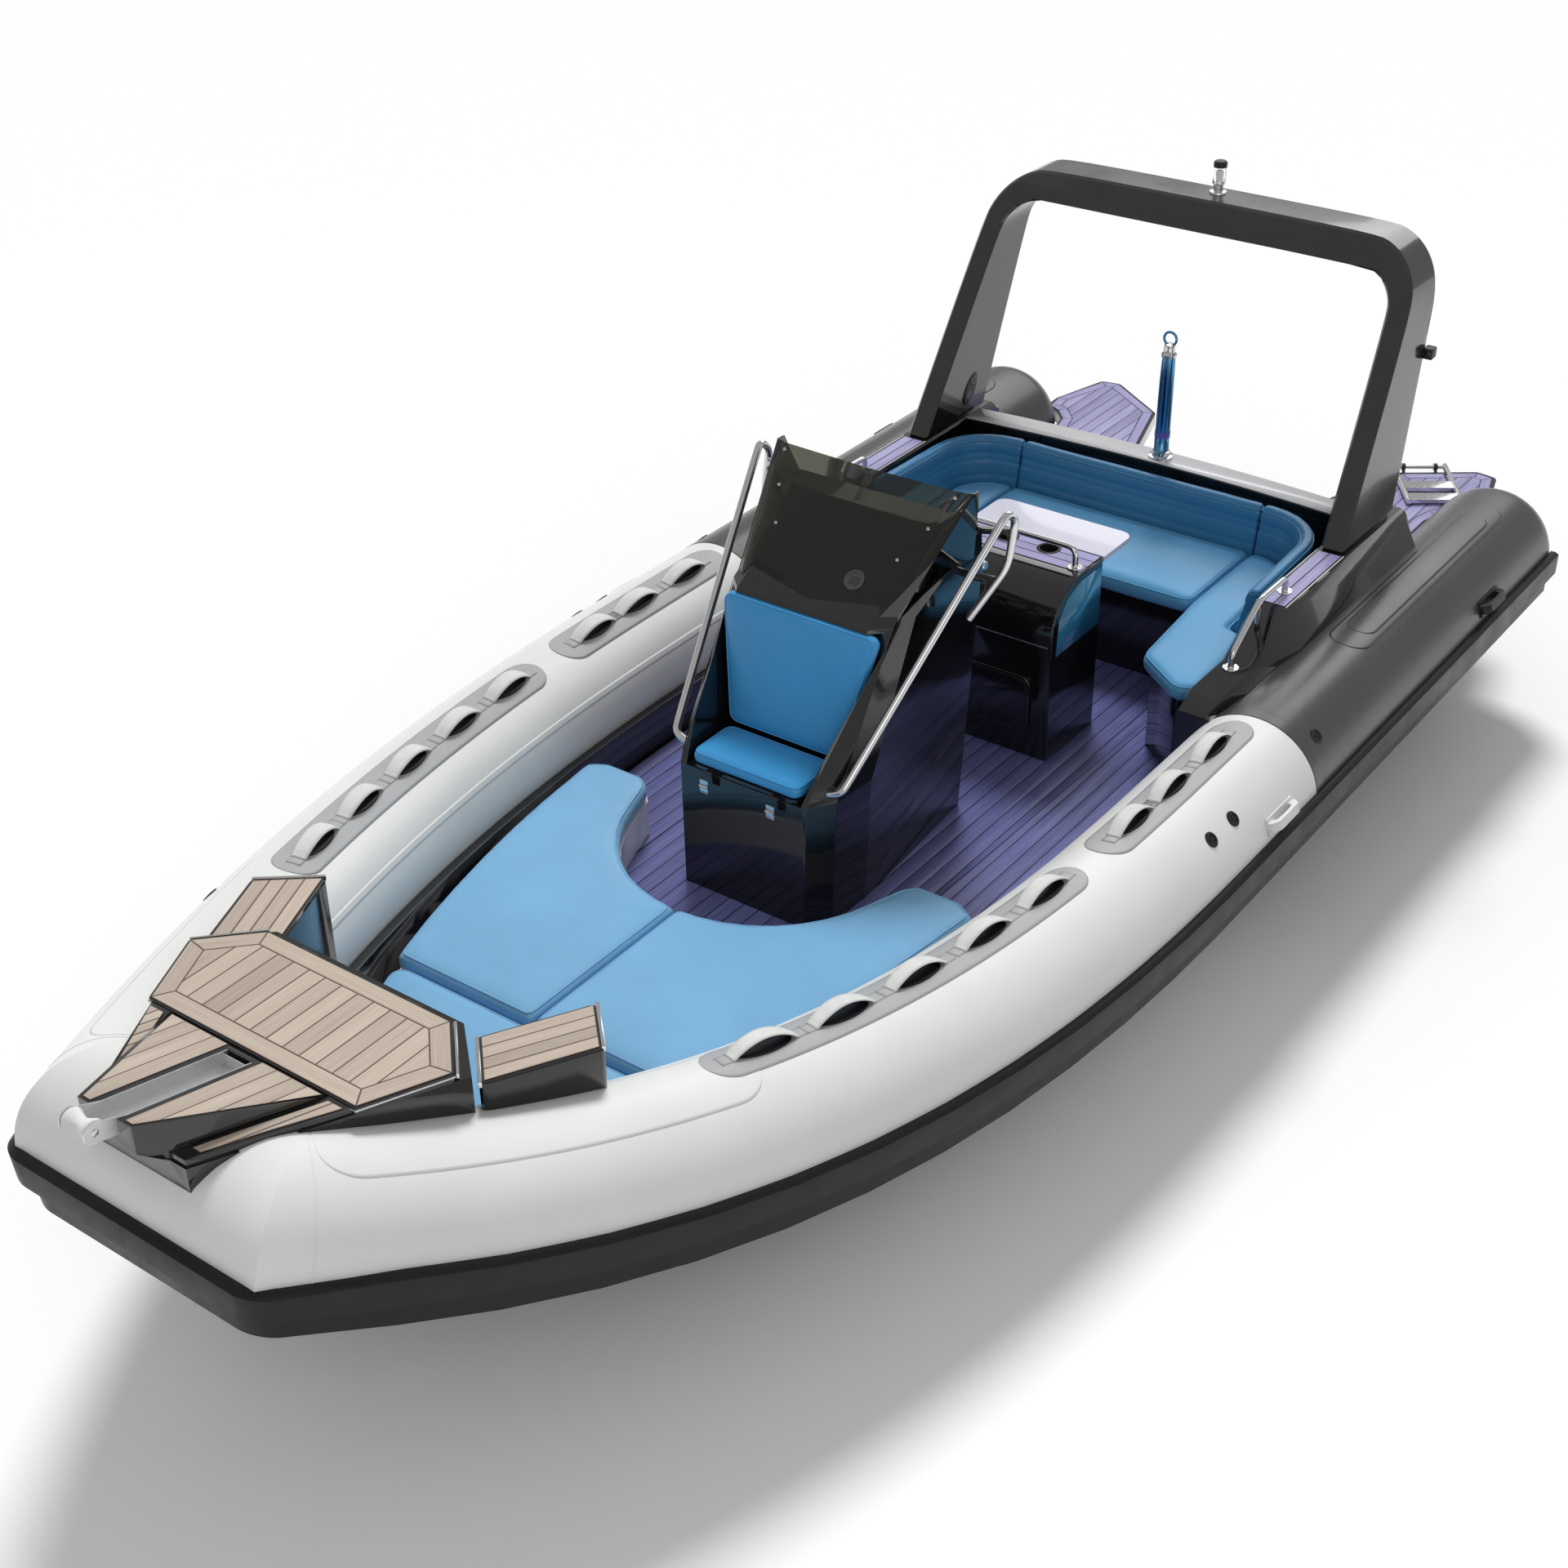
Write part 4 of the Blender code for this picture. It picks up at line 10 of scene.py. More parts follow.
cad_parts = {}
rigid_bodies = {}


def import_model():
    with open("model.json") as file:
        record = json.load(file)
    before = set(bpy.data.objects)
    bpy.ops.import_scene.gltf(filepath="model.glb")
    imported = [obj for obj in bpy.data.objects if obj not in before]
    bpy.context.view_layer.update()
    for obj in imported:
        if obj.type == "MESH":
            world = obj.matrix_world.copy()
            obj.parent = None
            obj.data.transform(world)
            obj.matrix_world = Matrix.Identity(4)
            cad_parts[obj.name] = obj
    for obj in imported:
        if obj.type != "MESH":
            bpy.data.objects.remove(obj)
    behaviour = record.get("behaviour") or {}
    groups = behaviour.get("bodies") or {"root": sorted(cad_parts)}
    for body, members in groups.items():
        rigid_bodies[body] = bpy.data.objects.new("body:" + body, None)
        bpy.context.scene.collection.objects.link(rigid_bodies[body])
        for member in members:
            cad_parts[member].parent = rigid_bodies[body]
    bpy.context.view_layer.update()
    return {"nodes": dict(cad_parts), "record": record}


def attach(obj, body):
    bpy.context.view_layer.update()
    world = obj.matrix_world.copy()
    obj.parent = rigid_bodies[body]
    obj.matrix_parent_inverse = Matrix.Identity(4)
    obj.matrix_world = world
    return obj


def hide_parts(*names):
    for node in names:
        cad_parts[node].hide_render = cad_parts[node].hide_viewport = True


for leftover in list(bpy.data.objects):
    bpy.data.objects.remove(leftover)
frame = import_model()
slot_of = {row["node"]: row["material_slot"] for row in frame["record"]["subparts"]}
body_of = {node: body for body, nodes in frame["record"]["behaviour"]["bodies"].items() for node in nodes}

# Sides and directions
SIDES = ((1, "port"), (-1, "starboard"))
AFT = (0, 1, 0)

# Fits and edges
weld = 0.00001
hair = 0.0004
flat_degs = 0.6
crease_degs = 38.0

# Tubes
tube_skin = 0.2525
tube_side_x = 1.180
tube_side_z = 0.648
bow_corner_x = 0.320
bow_corner_z = 0.955
bow_tube_y = -3.100
tube_straight_y = 0.200
tube_join_y = 0.640
tube_dome_y = 2.860
tube_dome_length = 0.180
plan_power = 2.57
sheer_power = 3.6
tube_around = 72
tube_spare = 0.32
tube_sharp_degs = 50
straight_share = 0.7
dome_bend = math.radians(89.0)

# Grab loops
fore_loop_y = (-1.887, -1.604, -1.307, -1.004, -0.703)
aft_loop_y = (-0.186, 0.0725, 0.368)
loop_rows = (("fore", (-2.080, -0.520), fore_loop_y), ("aft", (-0.400, 0.590), aft_loop_y))
patch_middle_deg = 99.0
patch_degs = (80.0, 118.0)
patch_rounding = 0.085
patch_lift = 0.0006
patch_thickness = 0.0022
patch_crowding = 0.92
loop_half_deg = 5.6
loop_half_length = 0.112
loop_rise = 0.040
loop_lift = 0.0068
loop_spread = 1.06
loop_fullness = 0.75
strap_thickness = 0.0035
# The black almond under each loop is painted shade beneath the raised strap; these set its width, length and
# lift.
shade_patch_deg = 9.0
shade_patch_share = 0.88
shade_patch_lift = 0.0030
tab_length = 0.050
tab_lift = 0.0028
tab_tuck = 0.30
tab_thickness = 0.0014

# Seams and valves
mitre_tape_y = (-3.0995, -3.095)
mitre_tape_lift = 0.0002
thin_sheet = 0.0008
join_band_y = (tube_join_y + 0.002, tube_join_y + 0.062)
valve_lift = 0.0004
valve_spots = ((1, -0.030, 46.0), (1, 0.120, 46.0), (1, 0.760, 46.0), (-1, -0.030, 46.0),
               (-1, 0.120, 46.0), (-1, 0.760, 46.0), (-1, -2.160, 44.0))
valve_ring = ((0.017, -0.004), (0.017, 0.0025), (0.0195, 0.0035), (0.0255, 0.0028), (0.028, 0.0),
              (0.028, -0.004))
valve_cap = ((0, 0.0005), (0.0165, 0.0005), (0.0165, -0.004))

# Rubbing strakes
strake_plane = 0.002
strake_corner = 0.060
strake_edge = 0.004
strake_sharp_degs = 26.0

# Boards
floor_bounce = 0.55
floor_shown = 0.97
least_board = 0.00004
mitre_degs = 20.0
board_sheet = 0.0015
board_shift = 1.37
board_groove = 0.004

# Bow
step_front_x = 0.372
step_front_y = -2.446
step_length = 0.360
step_width = 0.228
step_turn = math.radians(25.0)
step_splay = math.radians(45.0)
step_top_z = 1.146
step_fall = 0.022
step_rise = 0.018
hatch_aft_x = 0.350
hatch_aft_y = -2.503
hatch_side_x = 0.505
hatch_side_y = -2.660
hatch_front_x = 0.392
hatch_front_y = -2.905
hatch_top_z = 1.2254
wing_z = 1.2222
step_board_end = 0.010
step_board_front = 0.008
step_board_back = 0.010
step_trim_end = 0.003
step_trim_inset = 0.006
nose_half_gap = 0.055
nose_facing = (0, 0.243, 0.970)
platform_trim_ends = ((0.355, -2.498, 1.2174), (0.510, -2.655, 1.2174))
channel_stop_ends = ((-0.044, -2.952, 1.211), (0.044, -2.952, 1.211))
wing_outline = ((0.310, -2.918), (0.369, -2.918), (0.270, -3.100), (0.196, -3.245), (0.160, -3.245),
                (0.224, -3.100))
hatch_trim_share = 0.997
hatch_trim_drop = 0.010
roller_axle = (-3.424, 1.342)
roller_pin_x = 0.0482
roller_pin = ((0, 0.004), (0.007, 0.004), (0.010, 0.0025), (0.010, 0.0))

# Upholstery
cushion_edge = 0.009
cushion_edge_degs = 50.0
cushion_swell = 0.0022
slow_wrinkles = 5.0
quick_wrinkles = 17.0
quick_shift = Vector((3.1, 1.7, 0.4))
seam_width = 0.006
seam_depth = 0.0030
channel_depth = 1.5
channel_width = 0.0085
piping_radius = 0.0032
piping_gap = 0.012
longest_line = 4000

# Console
console_pad_longer = 0.022
back_slant = Vector((0, 0.116, 0.503))
screen_screws = ((0.342, 0.955), (0.300, 0.715), (0.245, 0.465))
screen_rise = 0.356
screen_run = 0.378
screen_foot = (-0.400, 1.440)
screen_foot_half = 0.318
screen_flare = 0.074
screen_margin = 0.050
screen_bow = 0.012
screen_lift = 0.0032
vent_spot = (0.132, 0.262)
vent_disc = ((0, 0.002), (0.028, 0.002), (0.030, 0.0045), (0.035, 0.0045), (0.037, 0.0))
vent_bars = (-0.012, -0.004, 0.004, 0.012)
vent_bar_half = 0.020
lid_hinge_x = 0.137
lid_hinge_y = -0.7995
lid_hinge_z = 0.905
lid_hinge_half = 0.017
lid_leaves = ((0.0, 0.020), (0.030, 0.022))
lid_knuckle = ((0, 0.018), (0.0045, 0.018), (0.0045, -0.018), (0, -0.018))
lid_knuckle_foot = (-0.8015, 0.890)
dash_y = 0.1755
dash_z = 1.44
dash_lean = 0.125
dash_facing = (0, 1, 0.12)
gauge_spots = ((-0.125, 1.520, 0.040), (0.0, 1.530, 0.048), (0.125, 1.520, 0.040),
               (-0.245, 1.340, 0.026), (-0.245, 1.270, 0.026))
gauge_bezel = ((0.86, 0.004), (0.90, 0.009), (0.98, 0.009), (1.05, 0.0), (1.05, -0.008))
gauge_disc = ((0, 0.003), (0.90, 0.003), (0.90, -0.008))
needle_tip = (0.55, 0.40)
needle_z = 0.0045
tick_from = 0.68
tick_to = 0.82
tick_z = 0.0035
tick_count = 9
tick_first_deg = -30
tick_step_deg = 30

# Helm module
module_top_x = (-0.200, 0.370)
module_top_y = (0.802, 0.958)
module_top_z = 1.158
cup_spots = ((-0.005, 0.908), (0.175, 0.908))
cup_hole = 0.0385
cup_rim = ((0.0345, -0.050), (0.0345, 0.0), (0.0355, 0.0045), (0.0440, 0.0048), (0.0465, 0.0030),
           (0.0465, 0.0))
rail_feet = ((-0.160, 0.830), (0.330, 0.830))
rail_foot_hole = 0.0305
hole_half_depth = 0.02
module_side_x = (0.375, -0.205)
module_side_lift = 0.0012
module_side_outline = ((0.640, 0.885, 0), (0.955, 0.885, 0), (0.955, 1.130, 0), (0.790, 1.130, 0),
                       (0.700, 1.095, 0), (0.650, 1.030, 0))
door_middle = (0.135, 0.670)
door_face_y = 0.5925
door_groove_box = (0.150, 0.108, 0.034, 6)
door_groove_radius = 0.0022
drawer_line_ends = ((-0.190, 0.6065, 0.930), (0.360, 0.6065, 0.930))

# Stern
bulkhead_top_z = 1.02
# A pale sheet on the bulkhead top is a painted highlight on the black gelcoat; this is its thickness.
highlight_strip_thickness = 0.0012
coaming_top_x = (0.896, 0.998)
coaming_top_y = (1.215, 1.715)
coaming_top_z = 1.025
coaming_trim_x = (0.893, 1.001)
coaming_trim_z = 1.0262
platform_top_z = 0.680
stern_rail_x = 0.940
stern_rail_feet = ((1.330, 1.0315), (0.920, 0.8965))
rail_screw_ring = 0.0215
rail_screw_count = 3
bench_back_longer = (0, 0, 0.044)
bench_channels = (0.62, 0.74)

# Arch and pole
lamp_foot = (0, 2.445, 2.0603)
lamp_cap = ((0, 0.128), (0.022, 0.128), (0.0272, 0.122), (0.0272, 0.104), (0, 0.104))
lamp_collar = ((0, 0.052), (0.0270, 0.052), (0.0275, 0.040), (0.0200, 0.032), (0.0200, 0.010),
               (0.034, 0.007), (0.036, 0.0), (0, 0.0))
lamp_bulb = ((0, 0.095), (0.008, 0.092), (0.011, 0.080), (0.009, 0.062), (0.009, 0.050), (0, 0.050))
pole_foot = (0, 2.130, 1.0303)
pole_band = ((0.0312, 0.118), (0.0322, 0.117), (0.0322, 0.092), (0.0312, 0.091))
pole_flange = ((0.0312, 0.030), (0.036, 0.028), (0.038, 0.012), (0.0515, 0.010), (0.0525, 0.004),
               (0.0525, 0.0))
pole_cap = ((0, 0.4935), (0.021, 0.4930), (0.0235, 0.488), (0.0235, 0.462), (0.0320, 0.452),
            (0.0320, 0.440))
arch_lean = Vector((0, 0.605, 1.035))
speaker_middle = Vector((-0.8915, 2.062, 1.150))
speaker_facing = Vector((1.0, 0, 0.052))
speaker_stretch = (0.8, 1.5, 1.0)
speaker_disc = ((0, 0.0042), (0.030, 0.0042), (0.046, 0.0036), (0.050, 0.0015), (0.050, -0.002))
speaker_cone = ((0, 0.0050), (0.010, 0.0046), (0.0185, 0.0062), (0.022, 0.0046), (0.022, 0.003))
speaker_cone_offset = 0.032
speaker_out = 0.0005
side_lamp_ends = ((0.950, 2.400, 1.615), (0.992, 2.400, 1.615))
side_lens_ends = ((0.966, 2.374, 1.615), (0.986, 2.374, 1.615))

# Stage, light and camera
floor_size = 60.0
floor_z = -0.001
sky_strength = 0.44
camera_azimuth = math.radians(37.09)
camera_elevation = math.radians(32.57)
camera_roll = math.radians(-1.144)
camera_place = (3.861, -5.768, 4.968)
camera_lens = 51.93
camera_shift = 0.0143


STEEL = (0.66, 0.66, 0.67)


# Materials


def finish(name, roughness, metallic=0.0, **sockets):
    """A new material, its node tree and its shader with the even values set on the shader itself."""
    material = bpy.data.materials.new(name)
    material.use_nodes = True
    shader = material.node_tree.nodes["Principled BSDF"]
    shader.inputs["Roughness"].default_value = roughness
    shader.inputs["Metallic"].default_value = metallic
    for socket, value in sockets.items():
        shader.inputs[socket.replace("_", " ")].default_value = value
    return material, material.node_tree, shader


def join(tree, kind, values, **settings):
    """Add a node; values fill its inputs in order, None leaves one alone, and an output is linked."""
    made = tree.nodes.new("ShaderNode" + kind)
    for name, value in settings.items():
        setattr(made, name, value)
    for socket, value in zip(made.inputs, values):
        if isinstance(value, bpy.types.NodeSocket):
            tree.links.new(value, socket)
        elif value is not None:
            socket.default_value = value
    return made.outputs[0]


def place_of(tree, stretch=(1, 1, 1), surface=False):
    """Coordinates in metres, of the object or along a strip's own map, stretched."""
    coordinates = tree.nodes.new("ShaderNodeTexCoord").outputs["UV" if surface else "Object"]
    return join(tree, "VectorMath", (coordinates, stretch), operation="MULTIPLY")


def noise(tree, place, scale, detail, rough=0.55):
    return join(tree, "TexNoise", (place, None, scale, detail, rough))


def ramp(tree, factor, stops):
    made = tree.nodes.new("ShaderNodeValToRGB")
    while len(made.color_ramp.elements) < len(stops):
        made.color_ramp.elements.new(0.5)
    for element, (position, colour) in zip(made.color_ramp.elements, stops):
        element.position = position
        element.color = (*colour, 1.0)
    tree.links.new(factor, made.inputs[0])
    return made.outputs[0]


def shade(colour, amount):
    return tuple(min(1.0, part * amount) for part in colour)


def vary(tree, shader, place, scale, colour, spread, rough_range):
    """Slow cloudy changes of colour and roughness over a surface."""
    cloud = noise(tree, place, scale, 5.0, 0.6)
    tint = ramp(tree, cloud, ((0.30, shade(colour, 1 - spread)), (0.70, shade(colour, 1 + spread))))
    tree.links.new(tint, shader.inputs["Base Color"])
    low, high = rough_range
    rough = join(tree, "MapRange", (cloud, 0.3, 0.7, low, high))
    tree.links.new(rough, shader.inputs["Roughness"])


def bump(tree, shader, height, strength, distance):
    made = tree.nodes.new("ShaderNodeBump")
    made.inputs["Strength"].default_value = strength
    made.inputs["Distance"].default_value = distance
    tree.links.new(height, made.inputs["Height"])
    tree.links.new(made.outputs[0], shader.inputs["Normal"])


def coated_fabric(name, colour, roughness, spread=0.03, coat=0.15):
    """Tube fabric: an even coat over a fine weave, with a faint cloudiness."""
    material, tree, shader = finish(name, roughness, Coat_Weight=coat, Coat_Roughness=0.25)
    vary(tree, shader, place_of(tree), 2.2, colour, spread, (roughness - 0.05, roughness + 0.07))
    bump(tree, shader, noise(tree, place_of(tree), 950.0, 2.0), 0.12, 0.0004)
    return material


def gelcoat(name, colour, roughness=0.10, spread=0.25):
    """Polished moulding: deep gloss with faint smears and a slight long wave."""
    material, tree, shader = finish(name, roughness, Coat_Weight=0.5, Coat_Roughness=0.04)
    vary(tree, shader, place_of(tree), 5.0, colour, spread, (roughness - 0.03, roughness + 0.05))
    bump(tree, shader, noise(tree, place_of(tree), 14.0, 1.0), 0.05, 0.004)
    return material


def planked_wood(name, light, dark, roughness, coat=0.0, depth=0.35):
    """Wood grain that runs along each board's own map."""
    material, tree, shader = finish(name, roughness, Coat_Weight=coat, Coat_Roughness=0.15)
    grain = noise(tree, place_of(tree, (3.0, 150.0, 1.0), True), 1.0, 6.0, 0.65)
    board = noise(tree, place_of(tree, (0.35, 0.35, 1.0), True), 1.0, 1.0)
    grain_tone = ramp(tree, grain, ((0.28, dark), (0.72, light)))
    board_tone = ramp(tree, board, ((0.30, (0.80, 0.79, 0.80)), (0.70, (1.12, 1.12, 1.10))))
    mixed = join(tree, "MixRGB", (1.0, grain_tone, board_tone), blend_type="MULTIPLY")
    tree.links.new(mixed, shader.inputs["Base Color"])
    pores = noise(tree, place_of(tree, (14.0, 420.0, 1.0), True), 1.0, 3.0)
    rough = join(tree, "MapRange", (pores, 0.3, 0.7, roughness - 0.08, roughness + 0.08))
    tree.links.new(rough, shader.inputs["Roughness"])
    bump(tree, shader, pores, depth, 0.0004)
    return material


def upholstery(name, colour, roughness):
    """Marine vinyl: fine pebbled grain over soft, shallow undulations."""
    material, tree, shader = finish(name, roughness, Sheen_Weight=0.12, Sheen_Roughness=0.4)
    vary(tree, shader, place_of(tree), 3.5, colour, 0.05, (roughness - 0.05, roughness + 0.08))
    pebble = join(tree, "TexVoronoi", (place_of(tree), None, 620.0))
    swell = noise(tree, place_of(tree), 11.0, 2.0)
    height = join(tree, "Math", (pebble, 0.10, None), operation="MULTIPLY")
    both = join(tree, "Math", (height, swell), operation="ADD")
    bump(tree, shader, both, 0.30, 0.0035)
    return material


def metal(name, colour, roughness, along=(30.0, 4.0, 30.0)):
    """Polished or satin metal with fine drawn lines in its roughness."""
    material, tree, shader = finish(name, roughness, 1.0)
    vary(tree, shader, place_of(tree, along), 9.0, colour, 0.05, (roughness - 0.05, roughness + 0.08))
    bump(tree, shader, noise(tree, place_of(tree, along), 40.0, 2.0), 0.03, 0.0004)
    return material


def soft_plastic(name, colour, roughness):
    """Moulded plastic or rubber with a fine stipple."""
    material, tree, shader = finish(name, roughness, Specular_IOR_Level=0.3)
    vary(tree, shader, place_of(tree), 8.0, colour, 0.12, (roughness - 0.06, roughness + 0.08))
    bump(tree, shader, noise(tree, place_of(tree), 700.0, 2.0), 0.15, 0.0005)
    return material


def webbing(name, colour):
    """Woven strap: ribs along and across the strip's own map."""
    material, tree, shader = finish(name, 0.62, Sheen_Weight=0.2, Sheen_Roughness=0.5)
    vary(tree, shader, place_of(tree), 18.0, colour, 0.06, (0.55, 0.70))
    place = place_of(tree, (1, 1, 1), True)
    ribs = join(tree, "TexWave", (place, 260.0, 0.6, 1.0), bands_direction="X")
    weft = join(tree, "TexWave", (place, 420.0, 0.6, 1.0), bands_direction="Y")
    bump(tree, shader, join(tree, "Math", (ribs, weft), operation="ADD"), 0.4, 0.0005)
    return material


def clear_plastic(name, colour, roughness=0.02):
    """See-through sheet or lens with faint wiping marks."""
    material, tree, shader = finish(name, roughness, Transmission_Weight=1.0, IOR=1.47)
    vary(tree, shader, place_of(tree, (1, 1, 3)), 4.0, colour, 0.04, (roughness, roughness + 0.03))
    return material


white_fabric = coated_fabric("white_tube_fabric", (0.80, 0.81, 0.79), 0.38)
charcoal_fabric = coated_fabric("charcoal_tube_fabric", (0.040, 0.041, 0.040), 0.36, 0.06, 0.5)
grey_fabric = coated_fabric("grey_patch_fabric", (0.42, 0.43, 0.44), 0.50)
white_webbing = webbing("white_webbing", (0.78, 0.79, 0.77))
black_rubber = soft_plastic("strake_rubber", (0.0065, 0.0065, 0.0072), 0.42)
black_gelcoat = gelcoat("black_gelcoat", (0.0060, 0.0062, 0.0070))
arch_gelcoat = gelcoat("arch_gelcoat", (0.020, 0.019, 0.015), 0.14)
leaf_gelcoat = gelcoat("leaf_gelcoat", (0.62, 0.62, 0.74), 0.22, 0.03)
pale_gelcoat = gelcoat("pale_gelcoat", (0.70, 0.70, 0.73), 0.18, 0.03)
side_gelcoat = gelcoat("blue_panel_gelcoat", (0.030, 0.20, 0.36), 0.16, 0.08)
bow_teak = planked_wood("bow_teak", (0.60, 0.515, 0.435), (0.44, 0.36, 0.295), 0.62)
lilac_teak = planked_wood("lilac_teak", (0.46, 0.44, 0.72), (0.22, 0.205, 0.42), 0.42, 0.1, 0.10)
deck_teak = planked_wood("deck_teak", (0.19, 0.20, 0.45), (0.075, 0.08, 0.23), 0.50, 0.05, 0.08)
caulk = soft_plastic("deck_caulk", (0.016, 0.015, 0.017), 0.55)
bow_caulk = soft_plastic("bow_caulk", (0.11, 0.085, 0.075), 0.6)
pad_vinyl = upholstery("sun_pad_vinyl", (0.195, 0.435, 0.68), 0.46)
bench_vinyl = upholstery("bench_vinyl", (0.030, 0.185, 0.38), 0.36)
bench_seat_vinyl = upholstery("bench_seat_vinyl", (0.095, 0.33, 0.58), 0.38)
seat_vinyl = upholstery("console_seat_vinyl", (0.048, 0.32, 0.66), 0.40)
stainless = metal("polished_stainless", STEEL, 0.13)
satin_steel = metal("satin_stainless", STEEL, 0.28)
channel_steel = metal("brushed_channel_steel", (0.80, 0.80, 0.81), 0.50)
pole_metal = metal("blue_anodised_tube", (0.10, 0.27, 0.48), 0.16, (40.0, 40.0, 2.0))
band_tape = soft_plastic("violet_band", (0.13, 0.12, 0.50), 0.3)
black_plastic = soft_plastic("black_plastic", (0.014, 0.014, 0.015), 0.38)
vent_plastic = soft_plastic("grey_vent_plastic", (0.075, 0.075, 0.070), 0.30)
white_plastic = soft_plastic("white_plastic", (0.78, 0.79, 0.78), 0.32)
smoked_acrylic = clear_plastic("smoked_acrylic", (0.10, 0.10, 0.075))
clear_lens = clear_plastic("clear_lens", (0.92, 0.94, 0.95), 0.03)
gauge_face = soft_plastic("gauge_face", (0.03, 0.035, 0.05), 0.2)

BOW_DECK = (bow_teak, bow_caulk, "teak")
STERN_DECK = (lilac_teak, caulk, "lilac_teak")
SOLE_DECK = (deck_teak, caulk, "lilac_teak")
WHITE_TUBE = (white_fabric, "white_tube")
CHARCOAL_TUBE = (charcoal_fabric, "charcoal_tube")


# Shapes


def into_scene(name, data):
    thing = bpy.data.objects.new(name, data)
    bpy.context.scene.collection.objects.link(thing)
    return thing


def add_piece(name, bm, material, slot, body="boat", smooth_degs=crease_degs):
    mesh = bpy.data.meshes.new(name)
    bm.to_mesh(mesh)
    bm.free()
    for one in material if isinstance(material, list) else [material]:
        mesh.materials.append(one)
    mesh.shade_smooth()
    mesh.set_sharp_from_angle(angle=math.radians(smooth_degs))
    piece = into_scene(name, mesh)
    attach(piece, body)
    return piece


def sealed(bm):
    """Merge the points that meet and turn every face outward."""
    bmesh.ops.remove_doubles(bm, verts=bm.verts, dist=weld)
    bmesh.ops.recalc_face_normals(bm, faces=bm.faces)
    return bm


def handed(bm, side):
    """Turn the faces of a shape made on the starboard side outward again."""
    if side < 0:
        bmesh.ops.reverse_faces(bm, faces=bm.faces)
    return bm


def to_side(side, point):
    """A port point or direction carried over to a side."""
    return Vector((side * point[0], point[1], point[2]))


def stand_in(name, bm, material, node, smooth_degs):
    """A piece in a CAD node's place, on its body."""
    piece = add_piece(name, bm, material, slot_of[node], body_of[node], smooth_degs)
    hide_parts(node)
    return piece


def solid_of(node, whole=True):
    """The CAD node with doubles merged, and its flat faces made whole or at least joined to quads."""
    bm = bmesh.new()
    bm.from_mesh(frame["nodes"][node].data)
    bmesh.ops.remove_doubles(bm, verts=bm.verts, dist=weld)
    if whole:
        bmesh.ops.dissolve_limit(bm, angle_limit=math.radians(flat_degs), verts=bm.verts, edges=bm.edges)
    else:
        bmesh.ops.join_triangles(bm, faces=bm.faces, angle_face_threshold=math.radians(flat_degs),
                                 angle_shape_threshold=math.radians(180.0))
    return bm


def dressed(node, material, edge, steps=2, sharp_degs=crease_degs, whole=True):
    """A CAD node's shape with rounded edges."""
    piece = stand_in(node + "_moulding", solid_of(node, whole), material, node, sharp_degs)
    bevel = piece.modifiers.new("edges", "BEVEL")
    bevel.width = edge
    bevel.segments = steps
    bevel.limit_method = "ANGLE"
    bevel.angle_limit = math.radians(sharp_degs)
    bevel.use_clamp_overlap = True
    bevel.harden_normals = True
    return piece


def smoothed(node, material, sharp_degs=crease_degs, sharpness=1.0):
    """A CAD node's shape with its facets rounded out and its real edges kept."""
    bm = bmesh.new()
    bm.from_mesh(frame["nodes"][node].data)
    bmesh.ops.remove_doubles(bm, verts=bm.verts, dist=weld)
    bmesh.ops.join_triangles(bm, faces=bm.faces, angle_face_threshold=math.radians(12.0),
                             angle_shape_threshold=math.radians(70.0))
    crease = bm.edges.layers.float.new("crease_edge")
    for edge in bm.edges:
        if len(edge.link_faces) == 2 and edge.calc_face_angle(0.0) > math.radians(sharp_degs):
            edge[crease] = sharpness
    piece = stand_in(node + "_skin", bm, material, node, sharp_degs)
    rounding = piece.modifiers.new("rounding", "SUBSURF")
    rounding.levels = rounding.render_levels = 2


def baked(piece):
    """Make a piece's modifiers part of its mesh."""
    evaluated = piece.evaluated_get(bpy.context.evaluated_depsgraph_get())
    mesh = bpy.data.meshes.new_from_object(evaluated)
    piece.modifiers.clear()
    piece.data = mesh
    return piece


def shaped_grid(along, around, place):
    """A grid whose corner at shares u, v is put at place(u, v)."""
    bm = bmesh.new()
    bmesh.ops.create_grid(bm, x_segments=along, y_segments=around, size=0.5)
    shares = {vert: (vert.co.x + 0.5, vert.co.y + 0.5) for vert in bm.verts}
    for vert, (u, v) in shares.items():
        vert.co = place(u, v)
    bm.normal_update()
    return bm


def thicken(piece, thickness, offset=1.0):
    solid = piece.modifiers.new("thickness", "SOLIDIFY")
    solid.thickness = thickness
    solid.offset = offset
    return piece


def turned(profile, steps, place=Matrix()):
    """Radius and height pairs turned about the Z axis, then put in place."""
    bm = bmesh.new()
    verts = [bm.verts.new((radius, 0, height)) for radius, height in profile]
    edges = [bm.edges.new(pair) for pair in zip(verts, verts[1:])]
    bmesh.ops.spin(bm, geom=verts + edges, cent=(0, 0, 0), axis=(0, 0, 1), angle=2 * math.pi,
                   steps=steps, use_merge=True)
    return placed(sealed(bm), place)


def bar(start, end, width, height, edge=0.0015, up=(0, 0, 1)):
    """A rounded bar between two points, its width across and its height along up."""
    start, end = Vector(start), Vector(end)
    along = (end - start).normalized()
    across = Vector(up).cross(along).normalized()
    bm = bmesh.new()
    bmesh.ops.create_cube(bm, size=1.0)
    bmesh.ops.scale(bm, vec=((end - start).length, width, height), verts=bm.verts)
    bmesh.ops.bevel(bm, geom=bm.edges, offset=edge, offset_type="OFFSET", affect="EDGES", segments=2,
                    profile=0.5, material=-1)
    turn = Matrix((along, across, along.cross(across))).transposed().to_4x4()
    bmesh.ops.transform(bm, matrix=Matrix.Translation((start + end) / 2) @ turn, verts=bm.verts)
    return bm


